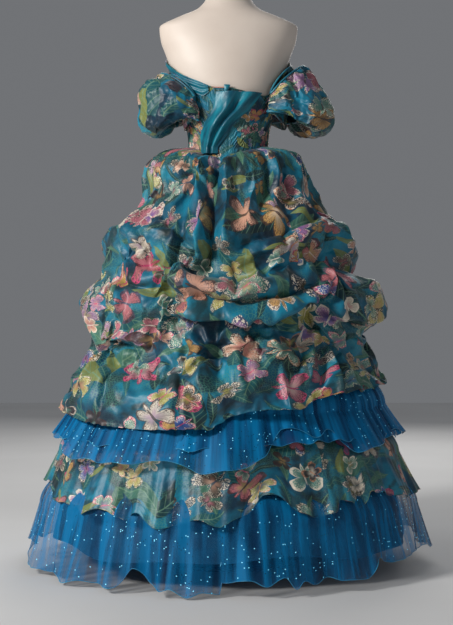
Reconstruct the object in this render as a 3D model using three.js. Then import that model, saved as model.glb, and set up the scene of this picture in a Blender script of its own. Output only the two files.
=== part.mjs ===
// An off-shoulder ballroom gown standing on a limbless dress form with a pole and a round foot.
// Units are millimetres. +Z is up, the gown's back faces -Y and its front +Y, and the origin is the
// centre of the underside of the foot. Angles are in degrees in plan: 0 is the wearer's right (+X),
// -90 the centre back and 90 the centre front. Every cloth piece is a thin closed wall about a
// middle surface, and neighbouring pieces stop 0.3 mm short of each other at their seams.

import * as THREE from 'three';

const CLOTH_WALL = 1.5;
const TRIM_WALL = 2.4;
const SEAM_GAP = 0.3;
const COLUMN_ANGLE = 7.5;
const PANEL_COUNT = 8;
const PANEL_ANGLE = 360 / PANEL_COUNT;
const STEP = 5e-3;
const FLOUNCE_STAND_OFF = 3.2;

// ---------------------------------------------------------------------------------------------
// Sizes
// ---------------------------------------------------------------------------------------------

const WAIST_HALF_WIDTH = 104;

// Dress form, top to bottom: half width, depth to the front, depth to the back.
const FORM_ROWS = [
  { z: 1580, width: 40, front: 34, back: 36 },
  { z: 1572, width: 54, front: 47, back: 49 },
  { z: 1533, width: 63, front: 55, back: 58 },
  { z: 1505, width: 88, front: 62, back: 68 },
  { z: 1482, width: 143, front: 68, back: 76 },
  { z: 1456, width: 190, front: 78, back: 82 },
  { z: 1420, width: 186, front: 94, back: 92 },
  { z: 1380, width: 172, front: 110, back: 98 },
  { z: 1340, width: 158, front: 120, back: 102 },
  { z: 1290, width: 140, front: 116, back: 100 },
  { z: 1230, width: 121, front: 100, back: 94 },
  { z: 1190, width: 111, front: 92, back: 89 },
  { z: 1126, width: WAIST_HALF_WIDTH, front: 86, back: 85 },
  { z: 1060, width: 123, front: 96, back: 98 },
  { z: 990, width: 150, front: 106, back: 116 },
  { z: 930, width: 162, front: 110, back: 124 },
  { z: 868, width: 156, front: 106, back: 118 },
  { z: 850, width: 140, front: 94, back: 104 },
];
const FORM_COLUMNS = 48;
const POLE_RADIUS = 16;
const FOOT_RADIUS = 200;
const FOOT_HEIGHT = 12;
const FOOT_HUB_RADIUS = 34;
const FOOT_HUB_HEIGHT = 46;

// Bodice: how far the cloth's middle stands off the form, its top edge and its seam at the waist.
const BODICE_OFFSET = 6;
const NECKLINE = [
  { angle: -90, z: 1274 }, { angle: -67, z: 1263 }, { angle: -45, z: 1256 }, { angle: -25, z: 1290 },
  { angle: -10, z: 1333 }, { angle: 0, z: 1352 }, { angle: 25, z: 1374 }, { angle: 60, z: 1382 },
  { angle: 90, z: 1370 }, { angle: 120, z: 1382 }, { angle: 155, z: 1378 }, { angle: 180, z: 1362 },
  { angle: 200, z: 1340 }, { angle: 215, z: 1318 }, { angle: 236, z: 1294 }, { angle: 254, z: 1276 },
  { angle: 270, z: 1274 },
];
const WAIST_SEAM = [
  { angle: -90, z: 1086 }, { angle: -70, z: 1106 }, { angle: -40, z: 1118 }, { angle: 0, z: 1126 },
  { angle: 60, z: 1120 }, { angle: 90, z: 1108 }, { angle: 120, z: 1120 }, { angle: 180, z: 1126 },
  { angle: 220, z: 1116 }, { angle: 236, z: 1098 }, { angle: 248, z: 1072 }, { angle: 270, z: 1086 },
];
const WAIST_Z = 1126;
const BODICE_PIECES = [
  { name: 'bodice_front_centre', from: 52.5, to: 127.5 },
  { name: 'bodice_side_front_left', from: 127.5, to: 187.5 },
  { name: 'bodice_back_left', from: 187.5, to: 270 },
  { name: 'bodice_back_right', from: -90, to: -7.5 },
  { name: 'bodice_side_front_right', from: -7.5, to: 52.5 },
];
const BODICE_ROWS = 5;

// Loose folded drape on the back: its two edges and the height of its fold, top to bottom.
const DRAPE_ROWS = [
  { z: 1262, left: -56, right: 84, fold: 12 },
  { z: 1222, left: -50, right: 52, fold: 17 },
  { z: 1180, left: -66, right: 12, fold: 20 },
  { z: 1146, left: -74, right: -10, fold: 17 },
  { z: 1117, left: -72, right: -30, fold: 12 },
];
const DRAPE_COLUMNS = 8;
const DRAPE_CLEARANCE = 4;

// Folded band along the back neckline, from the left side to the drape.
const BAND_ROWS = [
  { angle: 190, depth: 10 }, { angle: 207, depth: 20 }, { angle: 222, depth: 34 },
  { angle: 236, depth: 36 }, { angle: 246, depth: 16 },
];

// Off-shoulder puffs, top to bottom: reach out of the body and gap to the bodice at the underarm.
const SLEEVES = [
  {
    name: 'sleeve_left',
    backAngle: 232, frontAngle: 128,
    backTop: 1318, backBottom: 1196, frontTop: 1362, frontBottom: 1200, tip: 12,
    rows: [
      { z: 1356, reach: 34, gap: 4 }, { z: 1336, reach: 78, gap: 4 }, { z: 1292, reach: 118, gap: 4 },
      { z: 1246, reach: 122, gap: 4 }, { z: 1208, reach: 104, gap: 5 }, { z: 1180, reach: 66, gap: 6 },
    ],
  },
  {
    name: 'sleeve_right',
    backAngle: -42, frontAngle: 52,
    backTop: 1262, backBottom: 1216, frontTop: 1364, frontBottom: 1212, tip: 14,
    rows: [
      { z: 1356, reach: 48, gap: 4 }, { z: 1332, reach: 86, gap: 6 }, { z: 1290, reach: 124, gap: 12 },
      { z: 1250, reach: 156, gap: 24 }, { z: 1212, reach: 168, gap: 36 }, { z: 1174, reach: 116, gap: 44 },
    ],
  },
];
const SLEEVE_COLUMNS = 18;
const BINDING_HEIGHT = 6;

// Base skirt under everything, top to bottom. The first row follows the waist seam.
const BASE_ROWS = [
  { z: 985, width: 190, ratio: 0.88 },
  { z: 816, width: 262, ratio: 0.93 },
  { z: 585, width: 338, ratio: 0.95 },
  { z: 330, width: 425, ratio: 0.95 },
  { z: 57, width: 492, ratio: 0.95 },
];

// Overskirt picked up in three tiers, top to bottom: half widths at the wearer's left and right.
const OVERSKIRT_ROWS = [
  { z: 1122, left: 152, right: 154, ratio: 0.84, waist: 0.7, hem: 0 },
  { z: 1104, left: 194, right: 197, ratio: 0.87, waist: 0.35, hem: 0 },
  { z: 1050, left: 230, right: 214, ratio: 0.9, waist: 0.1, hem: 0 },
  { z: 992, left: 222, right: 238, ratio: 0.92, waist: 0, hem: 0 },
  { z: 952, left: 268, right: 322, ratio: 0.93, waist: 0, hem: 0 },
  { z: 904, left: 314, right: 350, ratio: 0.94, waist: 0, hem: 0 },
  { z: 850, left: 324, right: 345, ratio: 0.94, waist: 0, hem: 0 },
  { z: 812, left: 340, right: 330, ratio: 0.95, waist: 0, hem: 0 },
  { z: 770, left: 384, right: 406, ratio: 0.95, waist: 0, hem: 0 },
  { z: 718, left: 392, right: 414, ratio: 0.95, waist: 0, hem: 0 },
  { z: 648, left: 378, right: 378, ratio: 0.95, waist: 0, hem: 0 },
  { z: 582, left: 388, right: 392, ratio: 0.95, waist: 0, hem: 0.2 },
  { z: 506, left: 428, right: 420, ratio: 0.95, waist: 0, hem: 0.6 },
  { z: 430, left: 456, right: 450, ratio: 0.95, waist: 0, hem: 1 },
];
const OVERSKIRT_HEM = [
  { angle: -90, z: 424 }, { angle: -80, z: 437 }, { angle: -68, z: 436 }, { angle: -60, z: 462 },
  { angle: -40, z: 476 }, { angle: -15, z: 482 }, { angle: 10, z: 478 }, { angle: 35, z: 452 },
  { angle: 60, z: 422 }, { angle: 90, z: 402 }, { angle: 120, z: 412 }, { angle: 150, z: 438 },
  { angle: 180, z: 426 }, { angle: 210, z: 406 }, { angle: 229, z: 394 }, { angle: 250, z: 390 },
  { angle: 264, z: 394 }, { angle: 270, z: 424 },
];
const OVERSKIRT_HEM_Z = 430;
const HEM_FLARE = 0.45;
const OVERSKIRT_TOP = { offset: 8.6, lift: 2 };

// Places where the overskirt is caught up and sewn down, each pulled in towards the base skirt.
const PICK_UPS = [
  { angle: -47, z: 795, pull: 30 }, { angle: -55, z: 672, pull: 34 }, { angle: 246, z: 750, pull: 34 },
  { angle: -80, z: 626, pull: 26 }, { angle: 264, z: 585, pull: 24 }, { angle: 211, z: 600, pull: 26 },
  { angle: 216, z: 806, pull: 24 }, { angle: 248, z: 1040, pull: 16 }, { angle: 32, z: 790, pull: 30 },
  { angle: 62, z: 660, pull: 32 }, { angle: 98, z: 760, pull: 34 }, { angle: 118, z: 610, pull: 28 },
  { angle: 150, z: 800, pull: 28 }, { angle: 0, z: 612, pull: 24 }, { angle: 172, z: 655, pull: 24 },
];
const PICK_UP_SPREAD = 11;
const PICK_UP_HEIGHT = 46;
const OVERSKIRT_FOLDS = { count: 13, depth: 9, wander: 1.2, phase: 0.6 };

// Gathered flounces, each sewn on the base skirt at seamZ. Waves grow from the middle to the hem.
const FLOUNCES = [
  {
    name: 'upper_sheer_flounce', seamZ: 520, middle: { z: 425, width: 424 }, hem: { z: 326, width: 478 },
    folds: { count: 15, depth: 9, wander: 1.4, phase: 0.4 }, hemRise: 9,
    colour: 0x0a6f9c, roughness: 0.6,
  },
  {
    name: 'printed_flounce', seamZ: 372, middle: { z: 300, width: 460 }, hem: { z: 205, width: 506 },
    folds: { count: 17, depth: 9, wander: 1.1, phase: 2.1 }, hemRise: 12,
    colour: 0x3f7d86, roughness: 0.45,
  },
  {
    name: 'hem_sheer_flounce', seamZ: 250, middle: { z: 160, width: 512 }, hem: { z: 46, width: 548 },
    folds: { count: 16, depth: 14, wander: 1.5, phase: 5.0 }, hemRise: 11,
    colour: 0x0a6f9c, roughness: 0.6,
  },
];
const FLOUNCE_COLUMNS = 8;
const FLOUNCE_ROWS = 2;

// ---------------------------------------------------------------------------------------------
// Tables
// ---------------------------------------------------------------------------------------------

/** The value of one column of a table, read at a place between its rows. */
function readTable(rows, key, value, column) {
  const rising = rows[rows.length - 1][key] > rows[0][key];
  const ordered = rising ? rows : [...rows].reverse();
  const last = ordered.length - 1;
  if (value <= ordered[0][key]) return ordered[0][column];
  if (value >= ordered[last][key]) return ordered[last][column];
  const above = ordered.findIndex((row) => row[key] >= value);
  const low = ordered[above - 1];
  const high = ordered[above];
  const share = (value - low[key]) / (high[key] - low[key]);
  return THREE.MathUtils.lerp(low[column], high[column], share);
}

/** An angle brought into the range from -90 to 270 degrees that the edge tables use. */
function tableAngle(angle) {
  return THREE.MathUtils.euclideanModulo(angle + 90, 360) - 90;
}

/** Height of an edge that is listed by angle. */
function edgeHeight(table, angle) {
  return readTable(table, 'angle', tableAngle(angle), 'z');
}

/** The smaller turn between two angles, in degrees. */
function turnBetween(first, second) {
  const turn = THREE.MathUtils.euclideanModulo(first - second + 180, 360) - 180;
  return Math.abs(turn);
}

/** Uneven sideways waves of gathered cloth, from -1 to 1. */
function foldWave(folds, angle) {
  const turn = THREE.MathUtils.degToRad(angle);
  return Math.sin(folds.count * turn + folds.phase + folds.wander * Math.sin(2 * turn + folds.phase));
}

// ---------------------------------------------------------------------------------------------
// Walls of cloth
// ---------------------------------------------------------------------------------------------

/** Outward unit normal of a middle surface, whose u runs anticlockwise in plan and v downwards. */
function surfaceNormal(place, u, v) {
  const along = place(u + STEP, v).sub(place(u - STEP, v));
  const down = place(u, Math.min(v + STEP, 1)).sub(place(u, Math.max(v - STEP, 0)));
  return down.cross(along).normalize();
}

/** A closed wall of even thickness about a middle surface: a panel, or a tube when closed. */
function clothWall(place, columns, rows, wall, closed = false) {
  const positions = [];
  const indices = [];
  const across = closed ? columns : columns + 1;
  const layer = across * (rows + 1);
  const vertex = (side, i, j) => side * layer + j * across + (closed ? i % columns : i);
  for (const side of [0.5, -0.5]) {
    for (let j = 0; j <= rows; j += 1) {
      for (let i = 0; i < across; i += 1) {
        const u = i / columns;
        const v = j / rows;
        const offset = surfaceNormal(place, u, v).multiplyScalar(side * wall);
        positions.push(...place(u, v).add(offset).toArray());
      }
    }
  }
  const quad = (a, b, c, d) => indices.push(a, b, c, a, c, d);
  for (let j = 0; j < rows; j += 1) {
    for (let i = 0; i < columns; i += 1) {
      quad(vertex(0, i, j), vertex(0, i, j + 1), vertex(0, i + 1, j + 1), vertex(0, i + 1, j));
      quad(vertex(1, i, j), vertex(1, i + 1, j), vertex(1, i + 1, j + 1), vertex(1, i, j + 1));
    }
  }
  for (let i = 0; i < columns; i += 1) {
    quad(vertex(0, i, 0), vertex(0, i + 1, 0), vertex(1, i + 1, 0), vertex(1, i, 0));
    quad(vertex(0, i + 1, rows), vertex(0, i, rows), vertex(1, i, rows), vertex(1, i + 1, rows));
  }
  for (let j = 0; j < rows && !closed; j += 1) {
    quad(vertex(0, 0, j + 1), vertex(0, 0, j), vertex(1, 0, j), vertex(1, 0, j + 1));
    quad(vertex(0, columns, j), vertex(0, columns, j + 1), vertex(1, columns, j + 1), vertex(1, columns, j));
  }
  const geometry = new THREE.BufferGeometry();
  geometry.setAttribute('position', new THREE.Float32BufferAttribute(positions, 3));
  geometry.setIndex(indices);
  geometry.computeVertexNormals();
  return geometry;
}

/** A named mesh with its own material. */
function namedMesh(name, geometry, colour, roughness, metalness = 0) {
  const material = new THREE.MeshStandardMaterial({ color: colour, roughness, metalness });
  const mesh = new THREE.Mesh(geometry, material);
  mesh.name = name;
  return mesh;
}

/** The angle at u in a panel, stopping half a seam gap short at both sides. */
function panelAngle(from, to, u, radius) {
  const inset = THREE.MathUtils.radToDeg(SEAM_GAP / 2 / radius) * (1 - 2 * u);
  return THREE.MathUtils.lerp(from, to, u) + inset;
}

// ---------------------------------------------------------------------------------------------
// Dress form
// ---------------------------------------------------------------------------------------------

/** A point around the form at a height, standing off it by a distance. */
function bodyPoint(angle, z, offset) {
  const turn = THREE.MathUtils.degToRad(angle);
  const side = Math.sin(turn) > 0 ? 'front' : 'back';
  const width = readTable(FORM_ROWS, 'z', z, 'width') + offset;
  const depth = readTable(FORM_ROWS, 'z', z, side) + offset;
  return new THREE.Vector3(width * Math.cos(turn), depth * Math.sin(turn), z);
}

/** The limbless torso: rings of the form's rows, closed at the neck and the underside. */
function torsoGeometry() {
  const positions = [];
  const indices = [];
  FORM_ROWS.forEach((row) => {
    for (let i = 0; i < FORM_COLUMNS; i += 1) {
      positions.push(...bodyPoint((i * 360) / FORM_COLUMNS, row.z, 0).toArray());
    }
  });
  const top = FORM_ROWS.length * FORM_COLUMNS;
  const lastRow = FORM_ROWS.length - 1;
  positions.push(0, 0, FORM_ROWS[0].z, 0, 0, FORM_ROWS[lastRow].z);
  for (let i = 0; i < FORM_COLUMNS; i += 1) {
    const next = (i + 1) % FORM_COLUMNS;
    for (let j = 0; j < lastRow; j += 1) {
      const high = j * FORM_COLUMNS;
      const low = high + FORM_COLUMNS;
      indices.push(high + i, low + i, low + next, high + i, low + next, high + next);
    }
    indices.push(top, i, next);
    indices.push(top + 1, lastRow * FORM_COLUMNS + next, lastRow * FORM_COLUMNS + i);
  }
  const geometry = new THREE.BufferGeometry();
  geometry.setAttribute('position', new THREE.Float32BufferAttribute(positions, 3));
  geometry.setIndex(indices);
  geometry.computeVertexNormals();
  return geometry;
}

/** A solid turned about the vertical from a profile of [radius, height] pairs. */
function turnedSolid(profile, segments) {
  const points = profile.map(([radius, height]) => new THREE.Vector2(radius, height));
  const geometry = new THREE.LatheGeometry(points, segments);
  geometry.rotateX(Math.PI / 2);
  return geometry;
}

function addForm(gown) {
  const footProfile = [
    [0, 0], [FOOT_RADIUS - 2, 0], [FOOT_RADIUS, 2], [FOOT_RADIUS, FOOT_HEIGHT - 3],
    [FOOT_RADIUS - 4, FOOT_HEIGHT], [FOOT_HUB_RADIUS, FOOT_HEIGHT + 3],
    [FOOT_HUB_RADIUS - 4, FOOT_HUB_HEIGHT], [0, FOOT_HUB_HEIGHT],
  ];
  const poleBottom = FOOT_HUB_HEIGHT + SEAM_GAP;
  const poleTop = FORM_ROWS[FORM_ROWS.length - 1].z - SEAM_GAP;
  const poleProfile = [[0, poleBottom], [POLE_RADIUS, poleBottom], [POLE_RADIUS, poleTop], [0, poleTop]];
  gown.add(namedMesh('form_torso', torsoGeometry(), 0xe9e4dc, 0.8));
  gown.add(namedMesh('form_pole', turnedSolid(poleProfile, 24), 0xb9bcc0, 0.3, 1));
  gown.add(namedMesh('form_foot', turnedSolid(footProfile, 40), 0xd8d6d2, 0.5));
}

// ---------------------------------------------------------------------------------------------
// Bodice
// ---------------------------------------------------------------------------------------------

/** Middle of the bodice cloth, v from the neckline to the waist seam. */
function bodicePoint(angle, v, offset = BODICE_OFFSET) {
  const z = THREE.MathUtils.lerp(edgeHeight(NECKLINE, angle), edgeHeight(WAIST_SEAM, angle), v);
  return bodyPoint(angle, z, offset);
}

function addBodice(gown) {
  for (const piece of BODICE_PIECES) {
    const place = (u, v) => bodicePoint(panelAngle(piece.from, piece.to, u, WAIST_HALF_WIDTH), v);
    const columns = Math.round((piece.to - piece.from) / COLUMN_ANGLE);
    const geometry = clothWall(place, columns, BODICE_ROWS, CLOTH_WALL);
    gown.add(namedMesh(piece.name, geometry, 0x1f6a80, 0.45));
  }
}

/** The plan angle of a point on the back of the bodice that lies at a given x. */
function backAngle(x, z, offset) {
  const width = readTable(FORM_ROWS, 'z', z, 'width') + offset;
  return -THREE.MathUtils.radToDeg(Math.acos(THREE.MathUtils.clamp(x / width, -1, 1)));
}

function addDrape(gown) {
  const top = DRAPE_ROWS[0].z;
  const bottom = DRAPE_ROWS[DRAPE_ROWS.length - 1].z;
  const place = (u, v) => {
    const z = THREE.MathUtils.lerp(top, bottom, v);
    const left = readTable(DRAPE_ROWS, 'z', z, 'left');
    const right = readTable(DRAPE_ROWS, 'z', z, 'right');
    const fold = readTable(DRAPE_ROWS, 'z', z, 'fold');
    const edge = Math.max(Math.sin(Math.PI * u), 0) ** 0.5;
    const ridge = fold * edge * (0.35 + 0.65 * Math.abs(Math.cos(1.5 * Math.PI * u)));
    const offset = BODICE_OFFSET + DRAPE_CLEARANCE + ridge;
    return bodyPoint(backAngle(THREE.MathUtils.lerp(left, right, u), z, offset), z, offset);
  };
  const geometry = clothWall(place, DRAPE_COLUMNS, DRAPE_ROWS.length - 1, CLOTH_WALL);
  gown.add(namedMesh('back_drape', geometry, 0x1690a8, 0.45));
}

function addNecklineBand(gown) {
  const offset = BODICE_OFFSET + CLOTH_WALL + 3 * SEAM_GAP;
  const first = BAND_ROWS[0].angle;
  const last = BAND_ROWS[BAND_ROWS.length - 1].angle;
  const place = (u, v) => {
    const angle = THREE.MathUtils.lerp(first, last, u);
    const depth = readTable(BAND_ROWS, 'angle', angle, 'depth');
    return bodyPoint(angle, edgeHeight(NECKLINE, angle) + 1 - v * depth, offset);
  };
  const columns = Math.round((last - first) / COLUMN_ANGLE);
  gown.add(namedMesh('neckline_band', clothWall(place, columns, 2, CLOTH_WALL), 0x1ba6c4, 0.45));
}

// ---------------------------------------------------------------------------------------------
// Sleeves
// ---------------------------------------------------------------------------------------------

/** Middle of a puff sleeve: u runs round the arm's opening, v from the top edge to the cuff. */
function sleevePoint(sleeve, u, v, lift = 0) {
  const turn = 2 * Math.PI * u;
  const share = (1 - Math.cos(turn)) / 2;
  const swing = Math.sin(turn);
  const rowTop = sleeve.rows[0].z;
  const rowBottom = sleeve.rows[sleeve.rows.length - 1].z;
  const fullness = Math.sin(Math.PI * share) ** 0.7;
  const rowIndex = v * (sleeve.rows.length - 1);
  const low = sleeve.rows[Math.min(Math.floor(rowIndex), sleeve.rows.length - 2)];
  const high = sleeve.rows[Math.min(Math.floor(rowIndex) + 1, sleeve.rows.length - 1)];
  const part = rowIndex - sleeve.rows.indexOf(low);
  const rowZ = THREE.MathUtils.lerp(low.z, high.z, part);
  const reach = THREE.MathUtils.lerp(low.reach, high.reach, part);
  const gap = THREE.MathUtils.lerp(low.gap, high.gap, part);
  const drop = (rowTop - rowZ) / (rowTop - rowBottom);
  const tipTop = THREE.MathUtils.lerp(sleeve.backTop, sleeve.frontTop, share);
  const tipBottom = THREE.MathUtils.lerp(sleeve.backBottom, sleeve.frontBottom, share);
  const z = THREE.MathUtils.lerp(THREE.MathUtils.lerp(tipTop, tipBottom, drop), rowZ, fullness);
  const outer = sleeve.tip + (reach - sleeve.tip) * Math.max(swing, 0) ** 0.85;
  const inner = (sleeve.tip - gap) * Math.max(-swing, 0) ** 0.85;
  const angle = THREE.MathUtils.lerp(sleeve.backAngle, sleeve.frontAngle, share);
  const offset = BODICE_OFFSET + CLOTH_WALL + outer - inner;
  return bodyPoint(angle, z + lift, offset);
}

function addSleeves(gown) {
  for (const sleeve of SLEEVES) {
    const mirrored = sleeve.frontAngle < sleeve.backAngle;
    const around = (u) => (mirrored ? u : 1 - u);
    const tube = (u, v) => sleevePoint(sleeve, around(u), v);
    const rows = sleeve.rows.length - 1;
    const puff = clothWall(tube, SLEEVE_COLUMNS, rows, CLOTH_WALL, true);
    gown.add(namedMesh(sleeve.name, puff, 0x2a7a88, 0.45));
    const clear = TRIM_WALL + SEAM_GAP;
    const upper = (u, v) => sleevePoint(sleeve, around(u), 0, clear + (1 - v) * BINDING_HEIGHT);
    const lower = (u, v) => sleevePoint(sleeve, around(u), 1, -clear - v * BINDING_HEIGHT);
    const edges = { top_binding: upper, cuff_binding: lower };
    for (const [edge, place] of Object.entries(edges)) {
      const ring = clothWall(place, SLEEVE_COLUMNS, 1, TRIM_WALL, true);
      gown.add(namedMesh(`${sleeve.name}_${edge}`, ring, 0x8fb7c4, 0.5));
    }
  }
}

// ---------------------------------------------------------------------------------------------
// Skirts
// ---------------------------------------------------------------------------------------------

/** Share of the true radius that a straight facet between two columns keeps at an angle. */
function facetShare(angle) {
  const half = COLUMN_ANGLE / 2;
  const within = THREE.MathUtils.euclideanModulo(angle, COLUMN_ANGLE) - half;
  return Math.cos(THREE.MathUtils.degToRad(half)) / Math.cos(THREE.MathUtils.degToRad(within));
}

/** A point of an oval section whose left and right half widths may differ. */
function ovalPoint(angle, z, left, right, ratio, extra) {
  const turn = THREE.MathUtils.degToRad(angle);
  const mean = (left + right) / 2;
  const width = mean + ((right - left) / 2) * Math.cos(turn) + extra;
  const depth = mean * ratio + extra;
  return new THREE.Vector3(width * Math.cos(turn), depth * Math.sin(turn), z);
}

/** Middle of the base skirt at a height below its first row, moved out by a distance. */
function baseSkirtPoint(angle, z, out = 0) {
  const width = readTable(BASE_ROWS, 'z', z, 'width') * facetShare(angle);
  const ratio = readTable(BASE_ROWS, 'z', z, 'ratio');
  return ovalPoint(angle, z, width, width, ratio, out);
}

function addBaseSkirt(gown) {
  const topDrop = CLOTH_WALL;
  for (let index = 0; index < PANEL_COUNT; index += 1) {
    const from = index * PANEL_ANGLE;
    const place = (u, v) => {
      const row = v * BASE_ROWS.length;
      const radius = row < 1 ? BASE_ROWS[0].width : BASE_ROWS[Math.floor(row) - 1].width;
      const angle = panelAngle(from, from + PANEL_ANGLE, u, radius);
      const waist = bodyPoint(angle, edgeHeight(WAIST_SEAM, angle) - topDrop, BODICE_OFFSET);
      const lower = Math.min(Math.floor(row), BASE_ROWS.length - 1);
      const end = baseSkirtPoint(angle, BASE_ROWS[lower].z);
      const start = lower === 0 ? waist : baseSkirtPoint(angle, BASE_ROWS[lower - 1].z);
      return start.lerp(end, row - lower);
    };
    const columns = PANEL_ANGLE / COLUMN_ANGLE;
    const geometry = clothWall(place, columns, BASE_ROWS.length, CLOTH_WALL);
    gown.add(namedMesh(`base_skirt_gore_${index + 1}`, geometry, 0x0b5878, 0.6));
  }
}

/** How far the overskirt is drawn in at a place by the spots where it is caught up. */
function pickUpPull(angle, z) {
  return PICK_UPS.reduce((pull, spot) => {
    const side = turnBetween(angle, spot.angle) / PICK_UP_SPREAD;
    const rise = (z - spot.z) / PICK_UP_HEIGHT;
    return pull + spot.pull * Math.exp(-(side * side + rise * rise) / 2);
  }, 0);
}

/** Middle of the overskirt at a row of its table. */
function overskirtRowPoint(angle, index) {
  const seam = edgeHeight(WAIST_SEAM, angle);
  if (index === 0) return bodyPoint(angle, seam + OVERSKIRT_TOP.lift, OVERSKIRT_TOP.offset);
  const row = OVERSKIRT_ROWS[index - 1];
  const hemMove = edgeHeight(OVERSKIRT_HEM, angle) - OVERSKIRT_HEM_Z;
  const z = row.z + row.waist * (seam - WAIST_Z) + row.hem * hemMove;
  const share = index / OVERSKIRT_ROWS.length;
  const fold = OVERSKIRT_FOLDS.depth * share * foldWave(OVERSKIRT_FOLDS, angle);
  const flare = -HEM_FLARE * row.hem * hemMove;
  return ovalPoint(angle, z, row.left, row.right, row.ratio, fold + flare - pickUpPull(angle, row.z));
}

function addOverskirt(gown) {
  const rows = OVERSKIRT_ROWS.length;
  for (let index = 0; index < PANEL_COUNT; index += 1) {
    const from = index * PANEL_ANGLE;
    const place = (u, v) => {
      const row = Math.min(Math.floor(v * rows), rows - 1);
      const radius = OVERSKIRT_ROWS[Math.max(row - 1, 0)].left;
      const angle = panelAngle(from, from + PANEL_ANGLE, u, radius);
      return overskirtRowPoint(angle, row).lerp(overskirtRowPoint(angle, row + 1), v * rows - row);
    };
    const geometry = clothWall(place, PANEL_ANGLE / COLUMN_ANGLE, rows, CLOTH_WALL);
    gown.add(namedMesh(`overskirt_panel_${index + 1}`, geometry, 0x2f7f8c, 0.42));
  }
}

function addFlounces(gown) {
  for (const flounce of FLOUNCES) {
    for (let index = 0; index < PANEL_COUNT; index += 1) {
      const from = index * PANEL_ANGLE;
      const place = (u, v) => {
        const angle = panelAngle(from, from + PANEL_ANGLE, u, flounce.hem.width);
        const wave = foldWave(flounce.folds, angle);
        const rise = flounce.hemRise * foldWave({ ...flounce.folds, phase: 1 }, angle + 40);
        const { middle, hem, folds, seamZ } = flounce;
        const ratio = BASE_ROWS[BASE_ROWS.length - 1].ratio;
        const top = baseSkirtPoint(angle, seamZ, FLOUNCE_STAND_OFF);
        const mid = ovalPoint(angle, middle.z, middle.width, middle.width, ratio, (folds.depth * wave) / 3);
        const low = ovalPoint(angle, hem.z + rise, hem.width, hem.width, ratio, folds.depth * wave);
        return v < 0.5 ? top.lerp(mid, v * 2) : mid.lerp(low, v * 2 - 1);
      };
      const geometry = clothWall(place, FLOUNCE_COLUMNS, FLOUNCE_ROWS, CLOTH_WALL);
      const name = `${flounce.name}_panel_${index + 1}`;
      gown.add(namedMesh(name, geometry, flounce.colour, flounce.roughness));
    }
  }
}

const gown = new THREE.Group();
addForm(gown);
addBodice(gown);
addDrape(gown);
addNecklineBand(gown);
addSleeves(gown);
addBaseSkirt(gown);
addOverskirt(gown);
addFlounces(gown);

export default gown;
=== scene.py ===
"""Off-shoulder ballroom gown standing on a limbless dress form.

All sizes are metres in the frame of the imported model: +Z up, the gown's back faces -Y and the
origin is the centre of the underside of the foot. Plan angles are in degrees: 0 is the wearer's
right (+X), -90 the centre back and 90 the centre front. Tables are in millimetres, as on a
pattern sheet, and are scaled by MM where they are read.
"""

import logging
import math
from dataclasses import dataclass
from enum import Enum
from typing import Callable, Sequence

import bmesh
import bpy
import numpy as np
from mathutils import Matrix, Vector, noise


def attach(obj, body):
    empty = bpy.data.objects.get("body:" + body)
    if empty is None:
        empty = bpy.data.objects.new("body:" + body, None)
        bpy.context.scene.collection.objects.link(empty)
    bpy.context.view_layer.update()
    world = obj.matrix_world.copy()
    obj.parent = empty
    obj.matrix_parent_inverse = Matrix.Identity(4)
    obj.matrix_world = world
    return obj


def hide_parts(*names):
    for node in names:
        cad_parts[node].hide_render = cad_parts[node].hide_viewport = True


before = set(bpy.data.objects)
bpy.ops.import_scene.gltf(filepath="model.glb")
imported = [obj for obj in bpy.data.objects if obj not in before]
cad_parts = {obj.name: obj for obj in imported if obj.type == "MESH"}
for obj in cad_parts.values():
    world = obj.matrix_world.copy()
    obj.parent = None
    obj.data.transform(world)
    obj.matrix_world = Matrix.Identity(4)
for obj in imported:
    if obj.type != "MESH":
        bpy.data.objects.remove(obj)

MM = 0.001
BODY = "root"
GORE_COUNT = 8
LOG = logging.getLogger("gown")
WEAVE_HEIGHT = 0.00003

Array = np.ndarray
Object = bpy.types.Object
Material = bpy.types.Material
Node = bpy.types.Node
Tree = bpy.types.NodeTree


# Curves through tables


def smooth_curve(knots: Sequence[float], values: Sequence[float], at: Array) -> Array:
    """A smooth curve through table values that never overshoots them.

    Args:
        knots: rising places of the table's rows.
        values: the value at each row.
        at: places to read.

    Returns:
        The curve's values at those places.
    """
    x, y = np.asarray(knots, float), np.asarray(values, float)
    step, rise = np.diff(x), np.diff(y)
    slope = rise / step
    tangent = np.zeros_like(y)
    same = slope[:-1] * slope[1:] > 0
    mean = 2 * slope[:-1] * slope[1:] / np.where(same, slope[:-1] + slope[1:], 1)
    tangent[1:-1] = np.where(same, mean, 0)
    tangent[0], tangent[-1] = slope[0], slope[-1]
    where = np.clip(np.searchsorted(x, at, side="right") - 1, 0, len(x) - 2)
    t = np.clip((at - x[where]) / step[where], 0, 1)
    rest = 1 - t
    return (
        y[where] * (1 + 2 * t) * rest**2
        + y[where + 1] * t**2 * (3 - 2 * t)
        + step[where] * (tangent[where] * t * rest**2 - tangent[where + 1] * t**2 * rest)
    )


def edge_height(edge: Sequence[tuple[float, float]], angle: Array) -> Array:
    """Height of an edge that a table lists as (angle, height in mm) once round.

    Args:
        edge: rows with rising angles that span 360 degrees.
        angle: plan angles in degrees.

    Returns:
        Heights in metres.
    """
    first = edge[0][0]
    around = np.mod(angle - first, 360) + first
    return smooth_curve([row[0] for row in edge], [row[1] for row in edge], around) * MM


def wrap(angle: Array) -> Array:
    """The same angle between -180 and 180 degrees."""
    return np.mod(angle + 180, 360) - 180


def bump(distance: Array, width: float) -> Array:
    """A soft round-topped profile that is 1 at distance 0 and fades over a width."""
    return np.exp(-0.5 * (distance / width) ** 2)


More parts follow.
